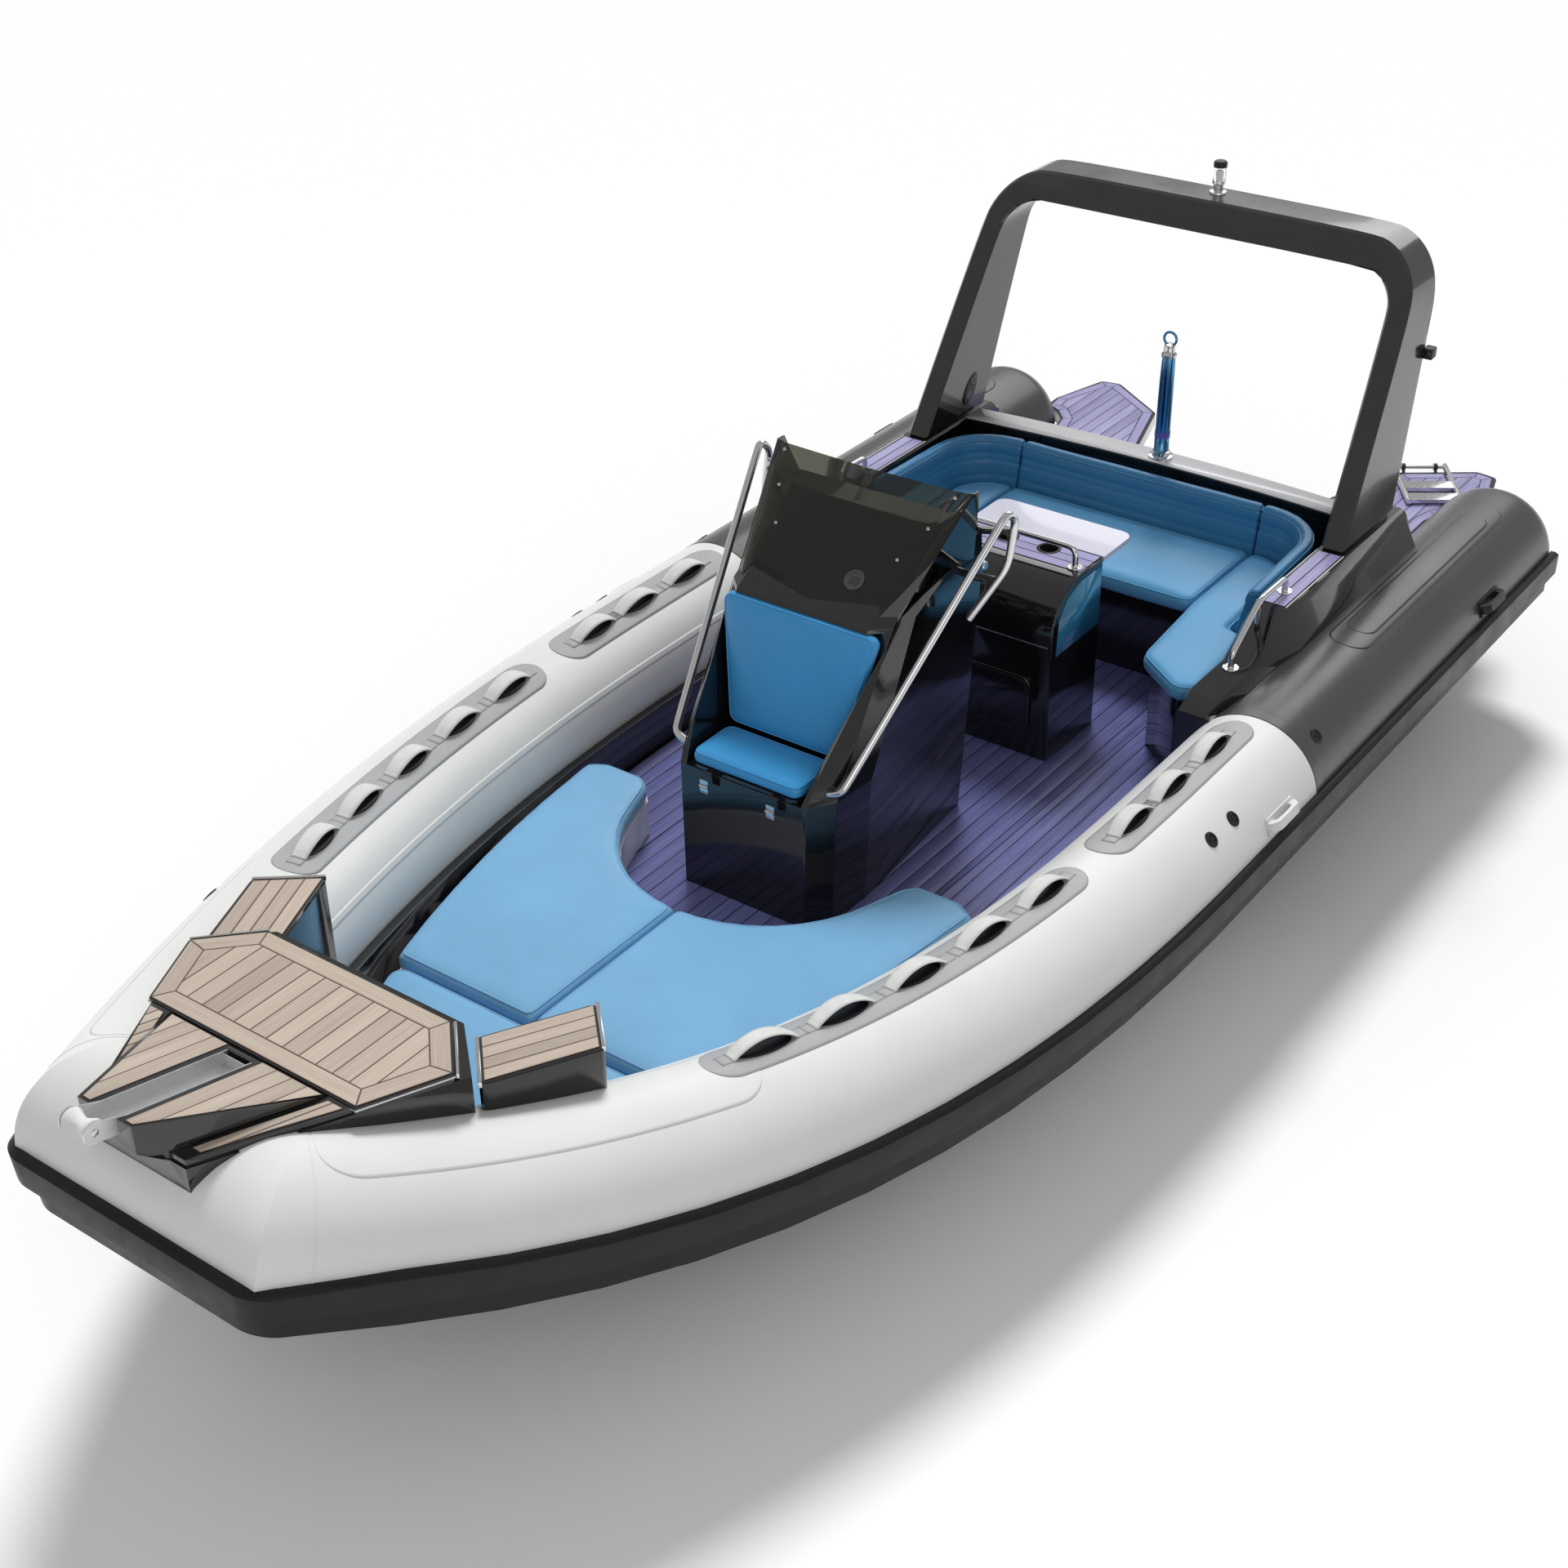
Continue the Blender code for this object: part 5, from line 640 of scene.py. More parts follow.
def merged(*shapes):
    """Several shapes as one."""
    whole = shapes[0]
    for shape in shapes[1:]:
        mesh = bpy.data.meshes.new("passing")
        shape.to_mesh(mesh)
        shape.free()
        whole.from_mesh(mesh)
        bpy.data.meshes.remove(mesh)
    return whole


def placed(bm, matrix):
    bmesh.ops.transform(bm, matrix=matrix, verts=bm.verts)
    return bm


def facing(point, direction):
    """The matrix that puts a shape's foot at a point with its Z axis along a direction."""
    turn = Vector(direction).to_track_quat("Z", "Y").to_matrix().to_4x4()
    return Matrix.Translation(point) @ turn


def screws(places, radius):
    """Domed screw heads with a cross recess, one for each point and direction."""
    head = [(0, 0.45 * radius), (0.25 * radius, 0.45 * radius), (0.30 * radius, 0.20 * radius),
            (0.36 * radius, 0.45 * radius), (0.75 * radius, 0.34 * radius), (radius, 0.0),
            (radius, -0.3 * radius)]
    return merged(*(turned(head, 12, facing(point, direction)) for point, direction in places))


def tube_of_points(points, radius):
    """A round cord along a closed line of points."""
    curve = bpy.data.curves.new("line", "CURVE")
    curve.dimensions = "3D"
    curve.bevel_depth = radius
    curve.bevel_resolution = 3
    spline = curve.splines.new("POLY")
    spline.points.add(len(points) - 1)
    for target, point in zip(spline.points, points):
        target.co = (*point, 1.0)
    spline.use_cyclic_u = True
    holder = bpy.data.objects.new("line", curve)
    mesh = bpy.data.meshes.new_from_object(holder)
    bm = bmesh.new()
    bm.from_mesh(mesh)
    bpy.data.objects.remove(holder)
    bpy.data.curves.remove(curve)
    bpy.data.meshes.remove(mesh)
    return sealed(bm)


# The tube line


def side_share(y):
    return max(0.0, (tube_straight_y - y) / (tube_straight_y - bow_tube_y))


def tube_line(y):
    """Centre and direction of the port tube, carried straight on past the bow corner."""
    near = max(y, bow_tube_y)
    share = side_share(near)
    span = tube_straight_y - bow_tube_y
    centre = Vector((tube_side_x - (tube_side_x - bow_corner_x) * share ** plan_power, near,
                     tube_side_z + (bow_corner_z - tube_side_z) * share ** sheer_power))
    slope_x = (tube_side_x - bow_corner_x) * plan_power * share ** (plan_power - 1) / span
    slope_z = -(bow_corner_z - tube_side_z) * sheer_power * share ** (sheer_power - 1) / span
    along = Vector((slope_x, 1, slope_z))
    return centre + along * (y - near), along.normalized()


def on_tube(side, y, degrees, lift=0.0, shrink=1.0):
    """A point on a side tube: 0 degrees is outboard, 90 the top, 180 inboard."""
    centre, along = tube_line(y)
    outward = Vector((along.y, -along.x, 0)).normalized()
    reach = tube_skin * shrink + lift
    turn = math.radians(degrees)
    point = centre + outward * reach * math.cos(turn) + outward.cross(along) * reach * math.sin(turn)
    return Vector((side * point.x, point.y, point.z))


def out_of_tube(side, y, degrees):
    return (on_tube(side, y, degrees, 0.01) - on_tube(side, y, degrees)).normalized()


mitre = (Vector((1, 0, 0)) + tube_line(bow_tube_y)[1]).normalized()
corner = Vector((bow_corner_x, bow_tube_y, bow_corner_z))


def close_tube(bm):
    bmesh.ops.remove_doubles(bm, verts=bm.verts, dist=weld)
    ends = [edge for edge in bm.edges if edge.is_boundary]
    bmesh.ops.holes_fill(bm, edges=ends, sides=0)
    bmesh.ops.recalc_face_normals(bm, faces=bm.faces)
    return bm


def cut_away(bm, point, normal):
    bmesh.ops.bisect_plane(bm, geom=bm.verts[:] + bm.edges[:] + bm.faces[:], plane_co=point,
                           plane_no=normal, clear_outer=True)


def make_tubes():
    start = bow_tube_y - tube_spare
    aft_start = tube_join_y + hair

    def bow_point(u, v):
        turn = 2 * math.pi * v
        return Vector(((2 * u - 1) * (bow_corner_x + tube_spare), bow_tube_y - tube_skin * math.cos(turn),
                       bow_corner_z + tube_skin * math.sin(turn)))

    for side, word in SIDES:

        def fore_point(u, v):
            return on_tube(side, start + (tube_join_y - hair - start) * u, 360 * v)

        def aft_point(u, v):
            if u < straight_share:
                run = (tube_dome_y - tube_join_y - hair) * u / straight_share
                return on_tube(side, aft_start + run, 360 * v)
            bend = dome_bend * (u - straight_share) / (1 - straight_share)
            run = tube_dome_length * math.sin(bend)
            return on_tube(side, tube_dome_y + run, 360 * v, 0, math.cos(bend))

        fore = shaped_grid(72, tube_around, fore_point)
        cut_away(fore, to_side(side, corner), -to_side(side, mitre))
        stand_in(f"fore_tube_{word}", close_tube(fore), white_fabric, f"tube_{word}_fore", tube_sharp_degs)
        aft = close_tube(shaped_grid(60, tube_around, aft_point))
        stand_in(f"aft_tube_{word}", aft, charcoal_fabric, f"tube_{word}_aft", tube_sharp_degs)
    bow = shaped_grid(12, tube_around, bow_point)
    for side in (1, -1):
        cut_away(bow, to_side(side, corner), to_side(side, mitre))
    stand_in("bow_tube", close_tube(bow), white_fabric, "tube_bow", tube_sharp_degs)


def tube_patch(name, side, ends, degrees, skin, rounding, lift, thickness, cells):
    """A flat patch welded on a tube between two places along it, its corners rounded."""
    material, slot = skin
    reach = ends[1] - ends[0]
    half = (degrees[1] - degrees[0]) / 2
    middle = (degrees[1] + degrees[0]) / 2
    wide = math.radians(half) * tube_skin
    corner_radius = min(rounding, wide)

    def place(u, v):
        u -= patch_crowding * math.sin(2 * math.pi * u) / (2 * math.pi)
        near = min(u, 1 - u) * reach
        tuck = 0.0
        if near < corner_radius:
            tuck = corner_radius - math.sqrt(max(0.0, corner_radius ** 2 - (corner_radius - near) ** 2))
        share = (wide - tuck) / wide
        return on_tube(side, ends[0] + reach * u, middle + (2 * v - 1) * half * share, lift)

    patch = handed(shaped_grid(*cells, place), side)
    return thicken(add_piece(name, patch, material, slot), thickness)


def make_seams():
    """Welded tape over the mitres, the long seam tapes, the rubbing patches and the join bands."""
    patches = (("long_seam", (-2.75, tube_join_y - 0.01), (148, 154), WHITE_TUBE, 0.005, 0.0,
                thin_sheet, (80, 4)),
               ("flank_doubling", (-3.085, -1.95), (62, 118), WHITE_TUBE, 0.10, 0.0,
                thin_sheet, (60, 20)),
               ("aft_doubling", (1.30, 2.72), (66, 104), CHARCOAL_TUBE, 0.12, 0.0, 0.0015, (60, 16)),
               ("aft_doubling_top", (1.42, 2.60), (72, 98), CHARCOAL_TUBE, 0.09, 0.0014,
                0.0012, (60, 12)),
               ("join_band", join_band_y, (0, 359), CHARCOAL_TUBE, 0.002, 0.0, 0.0012, (6, 72)))
    from_y, to_y = mitre_tape_y
    for side, word in SIDES:

        def tape_point(u, v):
            return on_tube(side, from_y + (to_y - from_y) * u, 360 * v, mitre_tape_lift)

        tape = sealed(shaped_grid(4, tube_around, tape_point))
        thicken(add_piece(f"mitre_tape_{word}_0", tape, *WHITE_TUBE), thin_sheet)
        for name, *shape in patches:
            tube_patch(f"{name}_{word}", side, *shape)


def make_loops():
    """Grey patches along the tube tops, each with its white webbing loops; the black almond under each loop
    and the straps' black undersides are painted shade.
    """
    for side, word in SIDES:
        for row, ends, middles in loop_rows:
            patch = tube_patch(f"loop_patch_{word}_{row}", side, ends, patch_degs,
                               (grey_fabric, "webbing"), patch_rounding, patch_lift, patch_thickness,
                               (90, 14))
            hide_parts(f"grab_patch_{word}_{row}")
            straps, shade_patches, tabs = [], [], []
            for middle in middles:

                def strap(u, v):
                    share = 2 * u - 1
                    bend = math.cos(share * math.pi / 2 * loop_spread)
                    rise = loop_rise * max(0.0, bend) ** loop_fullness
                    return on_tube(side, middle + share * loop_half_length,
                                   patch_middle_deg + (2 * v - 1) * loop_half_deg, loop_lift + rise)

                # A black almond on the patch under the strap: painted shade.
                def shade_patch_point(u, v):
                    share = 2 * u - 1
                    full = math.sqrt(max(0.0, 1 - share * share)) * shade_patch_deg
                    return on_tube(side, middle + share * loop_half_length * shade_patch_share,
                                   patch_middle_deg + (2 * v - 1) * full, shade_patch_lift)

                for end in (1, -1):

                    def tab(u, v):
                        return on_tube(side, middle + end * (loop_half_length + tab_length * (u - tab_tuck)),
                                       patch_middle_deg + end * (2 * v - 1) * loop_half_deg, tab_lift)

                    tabs.append(handed(shaped_grid(4, 4, tab), side))
                for builder, made, along in ((strap, straps, 28), (shade_patch_point, shade_patches, 16)):
                    bm = handed(shaped_grid(along, 4, builder), side)
                    mapped = bm.loops.layers.uv.new("UVMap")
                    for face in bm.faces:
                        for loop in face.loops:
                            loop[mapped].uv = (loop.vert.co.y, loop.vert.co.x)
                    made.append(bm)
            # The strap's inner shell takes black plastic: painted shade on its underside.
            strip = add_piece(f"loop_straps_{word}_{row}", merged(*straps),
                              [white_webbing, black_plastic], "white_tube")
            thicken(strip, strap_thickness, -1.0)
            strip.modifiers["thickness"].material_offset = 1
            strip.modifiers["thickness"].material_offset_rim = 0
            for kind, made, material, thickness in (("shade_patches", shade_patches, black_plastic, thin_sheet),
                                                    ("tabs", tabs, grey_fabric, tab_thickness)):
                thicken(add_piece(f"loop_{kind}_{word}_{row}", merged(*made), material, "webbing"), thickness)


def make_valves():
    """Inflation valves: a flush black ring with a recessed quarter-turn cap."""
    rings, caps = [], []
    for side, y, degrees in valve_spots:
        place = facing(on_tube(side, y, degrees, valve_lift), out_of_tube(side, y, degrees))
        rings.append(turned(valve_ring, 32, place))
        caps.append(turned(valve_cap, 32, place))
        caps.append(placed(bar((-0.013, 0, 0.002), (0.013, 0, 0.002), 0.0055, 0.0045, 0.0012), place))
    add_piece("valve_rings", merged(*rings), black_plastic, "black_handle")
    add_piece("valve_caps", merged(*caps), black_plastic, "black_handle")


# Boards


def top_face(bm, normal=(0, 0, 1), tolerance=0.02, above=None):
    """Keep only the faces of a shape that look along a direction."""
    direction = Vector(normal).normalized()
    lost = [face for face in bm.faces if face.normal.dot(direction) < 1 - tolerance
            or (above is not None and face.calc_center_median().z < above)]
    bmesh.ops.delete(bm, geom=lost, context="FACES")
    return bm


def plate(points):
    """One flat face through points, looking up."""
    bm = bmesh.new()
    bm.faces.new([bm.verts.new(point) for point in points])
    bm.normal_update()
    if bm.faces[:][0].normal.z < 0:
        bmesh.ops.reverse_faces(bm, faces=bm.faces)
        bm.normal_update()
    return bm


def rectangle(xs, ys, z):
    return plate([(xs[0], ys[0], z), (xs[1], ys[0], z), (xs[1], ys[1], z), (xs[0], ys[1], z)])


def drop_slivers(bm):
    bmesh.ops.remove_doubles(bm, verts=bm.verts, dist=hair)
    small = [face for face in bm.faces if face.calc_area() < least_board]
    bmesh.ops.delete(bm, geom=small, context="FACES")


def inset_rim(bm, width):
    """Inset the outer edge of flat faces and give back the rim's faces."""
    bmesh.ops.inset_region(bm, faces=bm.faces[:], thickness=width, use_even_offset=True, use_boundary=True)
    return [face for face in bm.faces if any(edge.is_boundary for edge in face.edges)]


def boards(name, bm, deck, grain, pitch, margin, body="boat", border=0.0, short=0.022, rise=0.0010):
    """Lay boards over flat faces: an optional mitred border, boards along the grain, caulk between."""
    wood, filler, slot = deck
    grain = Vector(grain).normalized()
    kind = bm.faces.layers.int.new("board")
    brief = [edge for edge in bm.edges if edge.calc_length() < short]
    bmesh.ops.collapse(bm, edges=brief)
    bmesh.ops.dissolve_limit(bm, angle_limit=math.radians(flat_degs), verts=bm.verts, edges=bm.edges)
    bmesh.ops.delete(bm, geom=inset_rim(bm, margin), context="FACES")
    normal = max(bm.faces, key=lambda face: face.calc_area()).normal.copy()
    across = normal.cross(grain).normalized()
    if border:
        for face in inset_rim(bm, border):
            face[kind] = 1
        soft = []
        for edge in bm.edges:
            if len(edge.link_faces) == 2 and all(face[kind] for face in edge.link_faces):
                sides = [next(other for other in face.edges if other.is_boundary)
                         for face in edge.link_faces]
                first, second = [(one.verts[1].co - one.verts[0].co).normalized() for one in sides]
                if abs(first.dot(second)) > math.cos(math.radians(mitre_degs)):
                    soft.append(edge)
        bmesh.ops.dissolve_edges(bm, edges=soft, use_verts=False)
    offsets = [vert.co.dot(across) for face in bm.faces if not face[kind] for vert in face.verts]
    low, high = min(offsets), max(offsets)
    lines = max(1, round((high - low) / pitch))
    for line in range(1, lines):
        inner = [face for face in bm.faces if not face[kind]]
        geometry = inner + list({edge for face in inner for edge in face.edges})
        geometry += list({vert for face in inner for vert in face.verts})
        place = across * (low + (high - low) * line / lines)
        bmesh.ops.bisect_plane(bm, geom=geometry, plane_co=place, plane_no=across)
    drop_slivers(bm)
    directions = {}
    for index, face in enumerate(bm.faces[:], 1):
        longest = max(face.edges, key=lambda edge: edge.calc_length())
        straight = (longest.verts[1].co - longest.verts[0].co).normalized()
        directions[index] = straight if face[kind] else grain
        face[kind] = index
    wooden = bm.faces[:]
    sunk = bmesh.ops.inset_individual(bm, faces=wooden, thickness=board_groove / 2, use_even_offset=True)
    for face in sunk["faces"]:
        face.material_index = 1
    bmesh.ops.inset_individual(bm, faces=wooden, thickness=rise, depth=rise, use_even_offset=True)
    mapped = bm.loops.layers.uv.new("UVMap")
    for face in bm.faces:
        along = directions.get(face[kind], grain)
        shift = face[kind] * board_shift
        for loop in face.loops:
            point = loop.vert.co
            loop[mapped].uv = (point.dot(along) + shift, point.dot(normal.cross(along)) + shift)
    bmesh.ops.translate(bm, vec=normal * (hair + board_sheet), verts=bm.verts)
    piece = add_piece(name, bm, [wood, filler], slot, body, 20)
    return thicken(piece, board_sheet, -1.0)


def pierced(piece, *cutters):
    """Cut round holes through a piece."""
    for bm in cutters:
        mesh = bpy.data.meshes.new("hole")
        bm.to_mesh(mesh)
        bm.free()
        cutter = into_scene("hole", mesh)
        hole = piece.modifiers.new("hole", "BOOLEAN")
        hole.operation = "DIFFERENCE"
        hole.solver = "EXACT"
        hole.object = cutter
        bpy.context.view_layer.update()
        baked(piece)
        bpy.data.objects.remove(cutter)
        bpy.data.meshes.remove(mesh)
    return piece


def plug(radius, steps, place):
    """A cylinder to cut a hole with."""
    half = hole_half_depth
    return turned([(0, half), (radius, half), (radius, -half), (0, -half)], steps, place)


# Bow


def step_point(side, run, reach, lift=0.0):
    """A point on a bow step's sloping top, by its length and its width."""
    along = Vector((math.sin(step_turn), math.cos(step_turn), 0)) * run
    across = Vector((math.sin(step_splay), -math.cos(step_splay), 0)) * reach
    point = Vector((step_front_x, step_front_y, 0)) + along + across
    z = step_top_z + step_rise * reach / step_width - step_fall * run / step_length
    return Vector((side * point.x, point.y, z + lift))


def make_bow():
    dressed("bow_platform", black_gelcoat, 0.004, 3, whole=False)
    for _, word in SIDES:
        dressed(f"bow_step_{word}", black_gelcoat, 0.006, 3)
    dressed("anchor_hatch", black_gelcoat, 0.002)
    half = [(hatch_aft_x, hatch_aft_y), (hatch_side_x, hatch_side_y), (hatch_front_x, hatch_front_y)]
    whole = half + [(-x, y) for x, y in reversed(half)]
    hatch = plate([(x, y, hatch_top_z) for x, y in whole])
    boards("hatch_boards", hatch, BOW_DECK, AFT, 0.062, 0.006, "anchor_hatch", border=0.056)
    rim = [Vector((x * hatch_trim_share, y, hatch_top_z - hatch_trim_drop)) for x, y in whole]
    add_piece("hatch_trim", tube_of_points(rim, 0.0035), satin_steel, "teak", "anchor_hatch")
    runs = (step_board_end, step_length - step_board_end)
    reaches = (step_board_front, step_width - step_board_back)
    for side, word in SIDES:
        corners = [step_point(side, runs[i], reaches[j]) for i, j in ((0, 0), (1, 0), (1, 1), (0, 1))]
        grain = to_side(side, (math.sin(step_turn), math.cos(step_turn), 0))
        boards(f"step_boards_{word}", plate(corners), BOW_DECK, grain, 0.052, 0.004)
        trims = [bar(step_point(side, run, step_trim_inset, -0.004),
                     step_point(side, run, step_width - step_trim_inset, -0.004), 0.011, 0.018)
                 for run in (step_trim_end, step_length - step_trim_end)]
        add_piece(f"step_trims_{word}", merged(*trims), stainless, "stainless")
        edge_trim = bar(*(to_side(side, end) for end in platform_trim_ends), 0.008, 0.016)
        add_piece(f"platform_trim_{word}", edge_trim, stainless, "stainless")
        nose = top_face(solid_of("bow_platform"), nose_facing, 0.003)
        cut_away(nose, (side * nose_half_gap, 0, 0), (-side, 0, 0))
        boards(f"nose_boards_{word}", nose, BOW_DECK, (0, 1, -0.25), 0.058, 0.010)
        wing = plate([(side * x, y, wing_z) for x, y in wing_outline])
        boards(f"wing_boards_{word}", wing, BOW_DECK, (0.40, 1, 0), 0.034, 0.002, short=0.004)
    dressed("roller_channel", channel_steel, 0.0012)
    add_piece("channel_stop", bar(*channel_stop_ends, 0.004, 0.040), channel_steel, "stainless")
    smoothed("bow_roller", white_plastic, sharp_degs=50)
    pins = [turned(roller_pin, 24, facing((side * roller_pin_x, *roller_axle), (side, 0, 0)))
            for side in (1, -1)]
    add_piece("roller_pin_heads", merged(*pins), stainless, "stainless")


# Upholstery


def loop_points(bm, point, normal):
    """Points in order along the cut of a closed shape by a plane."""
    cut = bmesh.ops.bisect_plane(bm, geom=bm.verts[:] + bm.edges[:] + bm.faces[:], plane_co=point,
                                 plane_no=normal)["geom_cut"]
    edges = {item for item in cut if isinstance(item, bmesh.types.BMEdge)}
    line = list(min(edges, key=lambda edge: edge.index).verts)
    while len(line) <= longest_line:
        ahead = [edge for edge in line[-1].link_edges
                 if edge in edges and edge.other_vert(line[-1]) not in line[-2:]]
        if not ahead or ahead[0].other_vert(line[-1]) is line[0]:
            break
        line.append(ahead[0].other_vert(line[-1]))
    return [vert.co.copy() for vert in line]


def spaced(points, gap):
    """Thin a closed line to points about a gap apart."""
    kept = [points[0]]
    for point in points[1:]:
        if (point - kept[-1]).length > gap:
            kept.append(point)
    return kept


def cushion(node, material, seam_share, axis=(0, 0, 1), voxel=0.011, longer=(0, 0, 0), channels=()):
    """A padded form: rounded, gently uneven, with a piped seam round it and sewn channels."""
    piece = dressed(node, material, cushion_edge, 3)
    piece.modifiers["edges"].angle_limit = math.radians(cushion_edge_degs)
    baked(piece)
    cover = piece.modifiers.new("cover", "REMESH")
    cover.mode = "VOXEL"
    cover.voxel_size = voxel
    cover.use_smooth_shade = True
    ease = piece.modifiers.new("ease", "SMOOTH")
    ease.factor = 0.5
    ease.iterations = 6
    baked(piece)
    bm = bmesh.new()
    bm.from_mesh(piece.data)
    bm.normal_update()
    up = Vector(axis).normalized()
    longer = Vector(longer)
    if longer.length:
        ends = [vert.co.dot(longer) for vert in bm.verts]
        first, last = min(ends), max(ends)
        for vert in bm.verts:
            vert.co += longer * (vert.co.dot(longer) - first) / (last - first)
    heights = [vert.co.dot(up) for vert in bm.verts]
    low, high = min(heights), max(heights)
    seam = low + (high - low) * seam_share
    line = spaced(loop_points(bm.copy(), up * seam, up), piping_gap)
    for vert in bm.verts:
        slow = noise_at(vert.co * slow_wrinkles)
        quick = noise_at(vert.co * quick_wrinkles + quick_shift)
        near = math.exp(-((vert.co.dot(up) - seam) / seam_width) ** 2)
        lift = cushion_swell * (0.65 * slow + 0.35 * quick) * min(1.0, abs(vert.normal.dot(up)) + 0.2)
        for share in channels:
            line_at = low + (high - low) * share
            near += channel_depth * math.exp(-((vert.co.dot(up) - line_at) / channel_width) ** 2)
        vert.co += vert.normal * (lift - seam_depth * near * (1 - abs(vert.normal.dot(up))))
    bm.to_mesh(piece.data)
    bm.free()
    piece.data.shade_smooth()
    piping = tube_of_points(line, piping_radius)
    add_piece(node + "_piping", piping, material, slot_of[node], body_of[node], 80)


# Console


def screen_point(x, share):
    """A point on the outer face of the front pane, and the way that face looks."""
    foot_y, foot_z = screen_foot
    half = screen_foot_half + screen_flare * share - screen_margin
    bow = screen_bow * max(0.0, 1 - abs(x) / half)
    out = Vector((0, -screen_rise, screen_run)).normalized()
    point = Vector((x, foot_y + screen_run * share - bow, foot_z + screen_rise * share))
    return point + out * screen_lift, out


def make_console():
    dressed("console_shell", black_gelcoat, 0.008, 4, 18)
    dressed("console_seat_lid", black_gelcoat, 0.003)
    dressed("windshield", smoked_acrylic, 0.0015)
    smoothed("steering_wheel", black_plastic, sharp_degs=45)
    dressed("throttle_lever", stainless, 0.0015)
    cushion("console_seat_cushion", seat_vinyl, 0.74, voxel=0.007, longer=(0, console_pad_longer, 0))
    slant = back_slant.normalized()
    cushion("console_back_cushion", seat_vinyl, 0.74, Vector((1, 0, 0)).cross(slant), voxel=0.008,
            longer=-console_pad_longer * slant)
    hinges = []
    for side in (1, -1):
        middle = side * lid_hinge_x
        for drop, tall in lid_leaves:
            y, z = lid_hinge_y - drop * 0.02, lid_hinge_z - drop
            ends = ((middle + reach, y, z) for reach in (-lid_hinge_half, lid_hinge_half))
            hinges.append(bar(*ends, 0.003, tall))
        hinges.append(turned(lid_knuckle, 16, facing((middle, *lid_knuckle_foot), (1, 0, 0))))
    add_piece("lid_hinge_plates", merged(*hinges), stainless, "stainless")
    make_gauges()
    spots = [screen_point(side * x, share) for side in (1, -1) for x, share in screen_screws]
    add_piece("screen_screws", screws(spots, 0.007), stainless, "stainless")
    vent = [turned(vent_disc, 48)]
    vent += [bar((-vent_bar_half, y, 0.003), (vent_bar_half, y, 0.003), 0.0025, 0.003, 0.0006)
             for y in vent_bars]
    vent = placed(merged(*vent), facing(*screen_point(*vent_spot)))
    add_piece("console_vent", vent, vent_plastic, "black_handle")


def make_gauges():
    """Round instruments on the dash: bezel, face, needle and ticks."""
    faces, bezels, marks = [], [], []
    for x, z, radius in gauge_spots:
        place = facing((x, dash_y - dash_lean * max(0.0, z - dash_z), z), dash_facing)
        bezels.append(turned([(radius * share, height) for share, height in gauge_bezel], 40, place))
        faces.append(turned([(radius * share, height) for share, height in gauge_disc], 40, place))
        tip = (radius * needle_tip[0], radius * needle_tip[1], needle_z)
        marks.append(placed(bar((0, 0, needle_z), tip, 0.0022, 0.0012, 0.0003, (0, 0.01, 1)), place))
        for tick in range(tick_count):
            angle = math.radians(tick_first_deg + tick * tick_step_deg)
            ray = Vector((math.cos(angle), math.sin(angle), 0))
            start, end = (ray * radius * share + Vector((0, 0, tick_z)) for share in (tick_from, tick_to))
            marks.append(placed(bar(start, end, 0.0018, 0.001, 0.0003), place))
    add_piece("gauge_bezels", merged(*bezels), stainless, "stainless")
    add_piece("gauge_faces", merged(*faces), gauge_face, "moulding_gelcoat")
    add_piece("gauge_marks", merged(*marks), white_plastic, "white_handle")


def make_module():
    dressed("helm_module", black_gelcoat, 0.006, 3)
    dressed("module_door", black_gelcoat, 0.003, 3)
    smoothed("module_rail", stainless, sharp_degs=50)
    dressed("table_leaf", leaf_gelcoat, 0.004, 3)
    top = boards("module_top_boards", rectangle(module_top_x, module_top_y, module_top_z), STERN_DECK,
                 (1, 0, 0), 0.050, 0.002)
    holes, rims = [], []
    for x, y in cup_spots:
        place = Matrix.Translation((x, y, module_top_z))
        holes.append(plug(cup_hole, 40, place))
        rims.append(turned(cup_rim, 48, place))
    for x, y in rail_feet:
        holes.append(plug(rail_foot_hole, 32, Matrix.Translation((x, y, module_top_z))))
    pierced(top, *holes)
    add_piece("cup_rims", merged(*rims), black_plastic, "moulding_gelcoat")
    for (side, word), x in zip(SIDES, module_side_x):
        face_x = x + side * module_side_lift
        upright = Matrix(((0, 0, 1, face_x), (1, 0, 0, 0), (0, 1, 0, 0), (0, 0, 0, 1)))
        panel = placed(plate(module_side_outline), upright)
        bmesh.ops.recalc_face_normals(panel, faces=panel.faces)
        panel.normal_update()
        if panel.faces[:][0].normal.x * side < 0:
            bmesh.ops.reverse_faces(panel, faces=panel.faces)
        piece = add_piece(f"module_side_panel_{word}", panel, side_gelcoat, "moulding_gelcoat")
        thicken(piece, thin_sheet)
    groove = [Vector((door_middle[0] + x, door_face_y, door_middle[1] + z))
              for x, z in rounded_box(*door_groove_box)]
    add_piece("door_groove", tube_of_points(groove, door_groove_radius), black_plastic,
              "moulding_gelcoat", "module_door")
    add_piece("drawer_line", bar(*drawer_line_ends, 0.004, 0.004, 0.001), satin_steel, "stainless")


def rounded_box(half_x, half_z, radius, steps):
    points = []
    for quarter, (sx, sz) in enumerate(((1, 1), (-1, 1), (-1, -1), (1, -1))):
        for step in range(steps + 1):
            turn = math.pi / 2 * (quarter + step / steps)
            points.append((sx * (half_x - radius) + radius * math.cos(turn),
                           sz * (half_z - radius) + radius * math.sin(turn)))
    return points


# Stern


